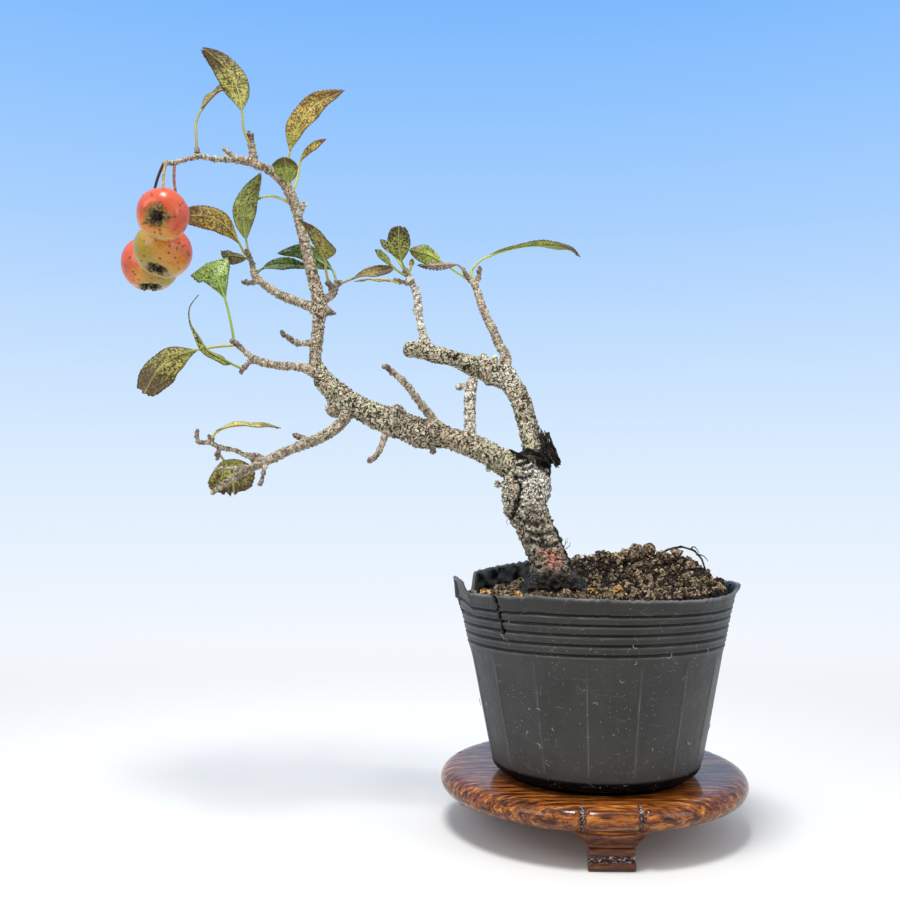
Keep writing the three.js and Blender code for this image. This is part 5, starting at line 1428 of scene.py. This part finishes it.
# %% Turn the board
STAND = dict(radius=50, bottom=10.8, nose=6, low=6.9)
FEET = [-91, 30, 150]
nose = []
half, mid = (STAND_TOP - STAND["bottom"]) / 2, (STAND_TOP + STAND["bottom"]) / 2
for i in range(23):
    angle = math.radians(90 - 152 * i / 22)
    out = STAND["nose"] * max(0, math.cos(angle)) ** 0.8
    nose.append((STAND["radius"] - STAND["nose"] + out, mid + half * math.sin(angle)))
under_nose = [(46.2 - 0.5 * k, STAND["bottom"] + 0.12 - 0.02 * k) for k in range(1, 7)]
inner_rings = [(radius, STAND_TOP) for radius in (0, 12, 24, 34, 40)]
under = [(radius, STAND["bottom"]) for radius in (40, 34, 31.5, 12, 0)]
board = turned(bmesh.new(), inner_rings + nose + under_nose + under, 600)
groove_shade_layer = board.verts.layers.float.new("groove")
for vertex in board.verts:
    x, y, z = vertex.co
    reach, angle = math.hypot(x, y), math.degrees(math.atan2(y, x))
    off = min(abs((angle - foot + 180) % 360 - 180) for foot in FEET)
    across = math.radians(off) * 46.6
    drop = (STAND["bottom"] - STAND["low"]) * min(1, math.exp(-(across - 6.9) / 2.6))
    new_reach, new_z = reach, z
    if reach > 43.9 and z > 11.15:
        around = math.degrees(math.atan2(z - 14.7, reach - 44))
        gap = abs(math.radians(off) * STAND["radius"] - 8.8)
        new_reach -= 2.3 * max(0, 1 - gap / 1.7) * ease(around, 75, 35)
        # Marks the V grooves for painted shade and painted glints in the finish.
        vertex[groove_shade_layer] = ease(gap, 1.1, 0.2) * ease(around, 75, 35)
    elif z < 11.15 and 43 < reach < 46.3:
        k = round((46.2 - reach) / 0.5)
        new_z = 11.1 - (drop + 0.3) * k / 6
        new_reach = reach + (46.5 - 0.9 * math.sin(math.pi * k / 6) - reach) * min(1, drop / 1.5)
    elif z < 11.15 and reach > 32:
        new_z = z - drop
    if reach > 1:
        x, y = x * new_reach / reach, y * new_reach / reach
    vertex.co = Vector((x, y, new_z))
bmesh.ops.recalc_face_normals(board, faces=board.faces[:])
print("board", len(board.faces), "faces")

# %% Carve a foot
def foot_mesh(turn):
    """A block under the edge with a sunk band across its face: an outline, extruded and bevelled."""
    bm = bmesh.new()
    low, high, sunk, front, back, tall = 2.2, 4.7, 1.4, 46.6, 33, 6.6
    outline_points = [(back, 0), (front - 0.6, 0), (front, 0.7), (front, low)]
    outline_points += [(front - sunk * math.sin(math.pi * i / 6), low + (high - low) * i / 6) for i in range(1, 6)]
    outline_points += [(front, high), (front, tall), (back, tall)]
    made = [bm.verts.new((x, -7, z)) for x, z in outline_points]
    face = bm.faces.new(made)
    grown = bmesh.ops.extrude_face_region(bm, geom=[face])["geom"]
    far_side = [part for part in grown if isinstance(part, bmesh.types.BMVert)]
    bmesh.ops.translate(bm, vec=(0, 14, 0), verts=far_side)
    bmesh.ops.recalc_face_normals(bm, faces=bm.faces[:])
    sharp = [e for e in bm.edges if len(e.link_faces) == 2 and e.calc_face_angle() > 0.7]
    bmesh.ops.bevel(bm, geom=sharp, offset=0.6, segments=4, affect="EDGES", profile=0.5, material=-1)
    # The sunk band is marked for painted shade and painted glints in the finish.
    groove = bm.verts.layers.float.new("groove")
    for vertex in bm.verts:
        vertex[groove] = ease(front - vertex.co.x, 0.2, 0.8) * (low < vertex.co.z < high)
        vertex.co.y *= 1 - 0.19 * (front - vertex.co.x) / (front - back)
    bmesh.ops.rotate(bm, verts=bm.verts[:], matrix=Matrix.Rotation(math.radians(turn), 3, "Z"))
    return mesh_of(bm, False)


print("a foot has", len(foot_mesh(-90).polygons), "faces")

# %% [markdown]
# The wood's grain runs one way, along x, through board and feet alike, because a turner cuts them from one
# plank. It is noise stretched along the grain, dark pores in it, under a clear coat with its own sharp shine.

# %% The stand's finish
lacquer = Finish("lacquered_wood", Roughness=0.45, Specular_IOR_Level=0.1, Coat_Weight=0.7, Coat_Roughness=0.09,
                 Coat_IOR=1.45)
figure = lacquer.clouds(1.5, 6, 0.68, where=lacquer.stretched(0.1, 1, 0.8), bend=0.5)
lacquer.coat = lacquer.ramp(figure, (0.36, (36, 15, 8)), (0.46, (100, 50, 20)), (0.55, (164, 92, 34)),
                            (0.66, (226, 150, 68)))
pores = lacquer.clouds(0.6, 4, 0.65, where=lacquer.stretched(0.14, 1, 1))
lacquer.lay(lacquer.between(pores, 0.52, 0.62), (34, 14, 9), 0.8)
place = lacquer.node("SeparateXYZ", Vector=lacquer.mm)
east, north = (lacquer.maths("ADD", place.outputs[i], -middle[i] * 1000) for i in (0, 1))
height = place.outputs[2]
round_way = lacquer.times(lacquer.maths("ARCTAN2", north, east), 8.0)
rim_way = lacquer.node("CombineXYZ", X=round_way, Y=0.0, Z=height).outputs[0]
worn = lacquer.between(lacquer.clouds(0.9, 5, 0.7, where=rim_way), 0.44, 0.54)
lacquer.lay(lacquer.times(lacquer.between(height, 18.2, 15), worn), (66, 28, 12), 0.45)
groove = lacquer.carried("groove")
# Painted shade in the V grooves and in the feet's sunk bands.
lacquer.lay(groove, (30, 11, 8), 0.85)
# Painted shade under the board: darker towards the floor, over the feet and the edge that hangs low above them.
lacquer.lay(lacquer.between(height, 10.4, 7.4), (62, 34, 28), 0.6)
# Painted highlights: pale glints in the grooves.
glints = lacquer.between(lacquer.clouds(0.5, 4, 0.6, where=lacquer.stretched(0.5, 1, 1)), 0.54, 0.6)
lacquer.lay(lacquer.times(groove, glints), (206, 200, 204), 0.75)
lacquer.colour()
lacquer.bump(figure, 0.06)
lacquer.bump(lacquer.clouds(1.2, 4), 0.05)
lacquer.bump(lacquer.times(groove, lacquer.clouds(0.7, 3)), 0.6)
finished("turned_board", mesh_of(board), "stand_board", "stand", lacquer.material)
for i, turn in enumerate(FEET):
    finished(f"carved_foot_{i + 1}", foot_mesh(turn), f"stand_foot_{i + 1}", "stand", lacquer.material)

# %% [markdown]
# ## Floor, light and camera
# A plain pale floor that curves up all round, like a photographer's sweep, leaves no horizon. Its wall is a
# light box, white below and pale blue above. The floor glows too, from a little way out, and close to the stand
# this glow is painted light that lightens the shadows cast on it. One soft lamp hangs over the crown and two weak
# ones fill in.
# The camera stands where the photographer's did: 34 cm away, a little above the soil, tipped up by three
# degrees.

# %% Spread the floor
SWEEP = [(0, 0), (400, 0), (900, 0), (1400, 20), (1800, 120), (2100, 320), (2300, 620), (2400, 1100), (2440, 1900)]
sweep_mesh = mesh_of(turned(bmesh.new(), SWEEP, 96))
sweep_mesh.transform(TO_ROW)
floor_piece = bpy.data.objects.new("floor", sweep_mesh)
bpy.context.scene.collection.objects.link(floor_piece)
pale = Finish("pale_floor", Roughness=0.9, Specular_IOR_Level=0)
place = pale.node("SeparateXYZ", Vector=pale.mm)
away_mm = pale.node("VectorMath", {"operation": "LENGTH"}, Vector=pale.mm).outputs["Value"]
rise = pale.between(away_mm, 60, 420)
pale.colour(pale.mix(rise, paint(236, 235, 233), (0, 0, 0, 1)))
climb = pale.plus(pale.between(away_mm, 200, 1450), 40.0, place.outputs[2])
glow = pale.ramp(pale.maths("DIVIDE", climb, 1600.0), (0, (247, 250, 255)), (0.0104, (238, 245, 254)),
                 (0.05, (230, 242, 254)), (0.325, (197, 224, 254)), (0.545, (170, 209, 254)),
                 (0.765, (147, 197, 254)), (1, (122, 183, 253)))
behind = pale.between(place.outputs[1], -700, 500)
pale.drive("Emission Color", pale.mix(behind, paint(186, 184, 180), glow))
# Painted light: a weak glow from 60 to 170 mm out, which lightens the shadows cast on the floor there.
lift = pale.times(pale.between(away_mm, 60, 170), 0.12)
pale.drive("Emission Strength", pale.plus(rise, 0.88, lift))
sweep_mesh.materials.append(pale.material)
print("floor", len(sweep_mesh.polygons), "faces")

# %% Hang the lamps
world = bpy.data.worlds.new("studio")
bpy.context.scene.world = world
world.use_nodes = True
world.node_tree.nodes["Background"].inputs["Color"].default_value = (0.98, 0.99, 1, 1)
world.node_tree.nodes["Background"].inputs["Strength"].default_value = 0.62
bpy.context.scene.view_settings.view_transform = "Standard"


def lamp(name, at, toward_point, size, power, tint=(1, 1, 1)):
    light = bpy.data.lights.new(name, "AREA")
    light.shape, light.size, light.size_y = "RECTANGLE", *size
    light.energy, light.color = power, tint
    holder = bpy.data.objects.new(name, light)
    bpy.context.scene.collection.objects.link(holder)
    start, target = TO_ROW @ Vector(at), TO_ROW @ Vector(toward_point)
    holder.location = start
    holder.rotation_euler = (target - start).to_track_quat("-Z", "Y").to_euler()


lamp("above", (-110, -230, 780), (-60, 0, 100), (0.2, 0.2), 4.2)
lamp("left", (-560, -420, 380), (-60, 0, 120), (0.3, 0.4), 1.2)
lamp("right", (520, -360, 300), (0, 0, 80), (0.25, 0.4), 0.8)
print("three lamps")

# %% Stand the camera
camera = bpy.data.cameras.new("camera")
camera.lens, camera.sensor_width = 40, 36
camera.clip_start, camera.clip_end = 0.01, 20
eye = bpy.data.objects.new("camera", camera)
bpy.context.scene.collection.objects.link(eye)
eye.location = TO_ROW @ Vector((-47.04, -337.1, 105.03))
eye.rotation_euler = (math.radians(90 + 3.04), 0, 0)
bpy.context.scene.camera = eye
print("camera at", eye.location)
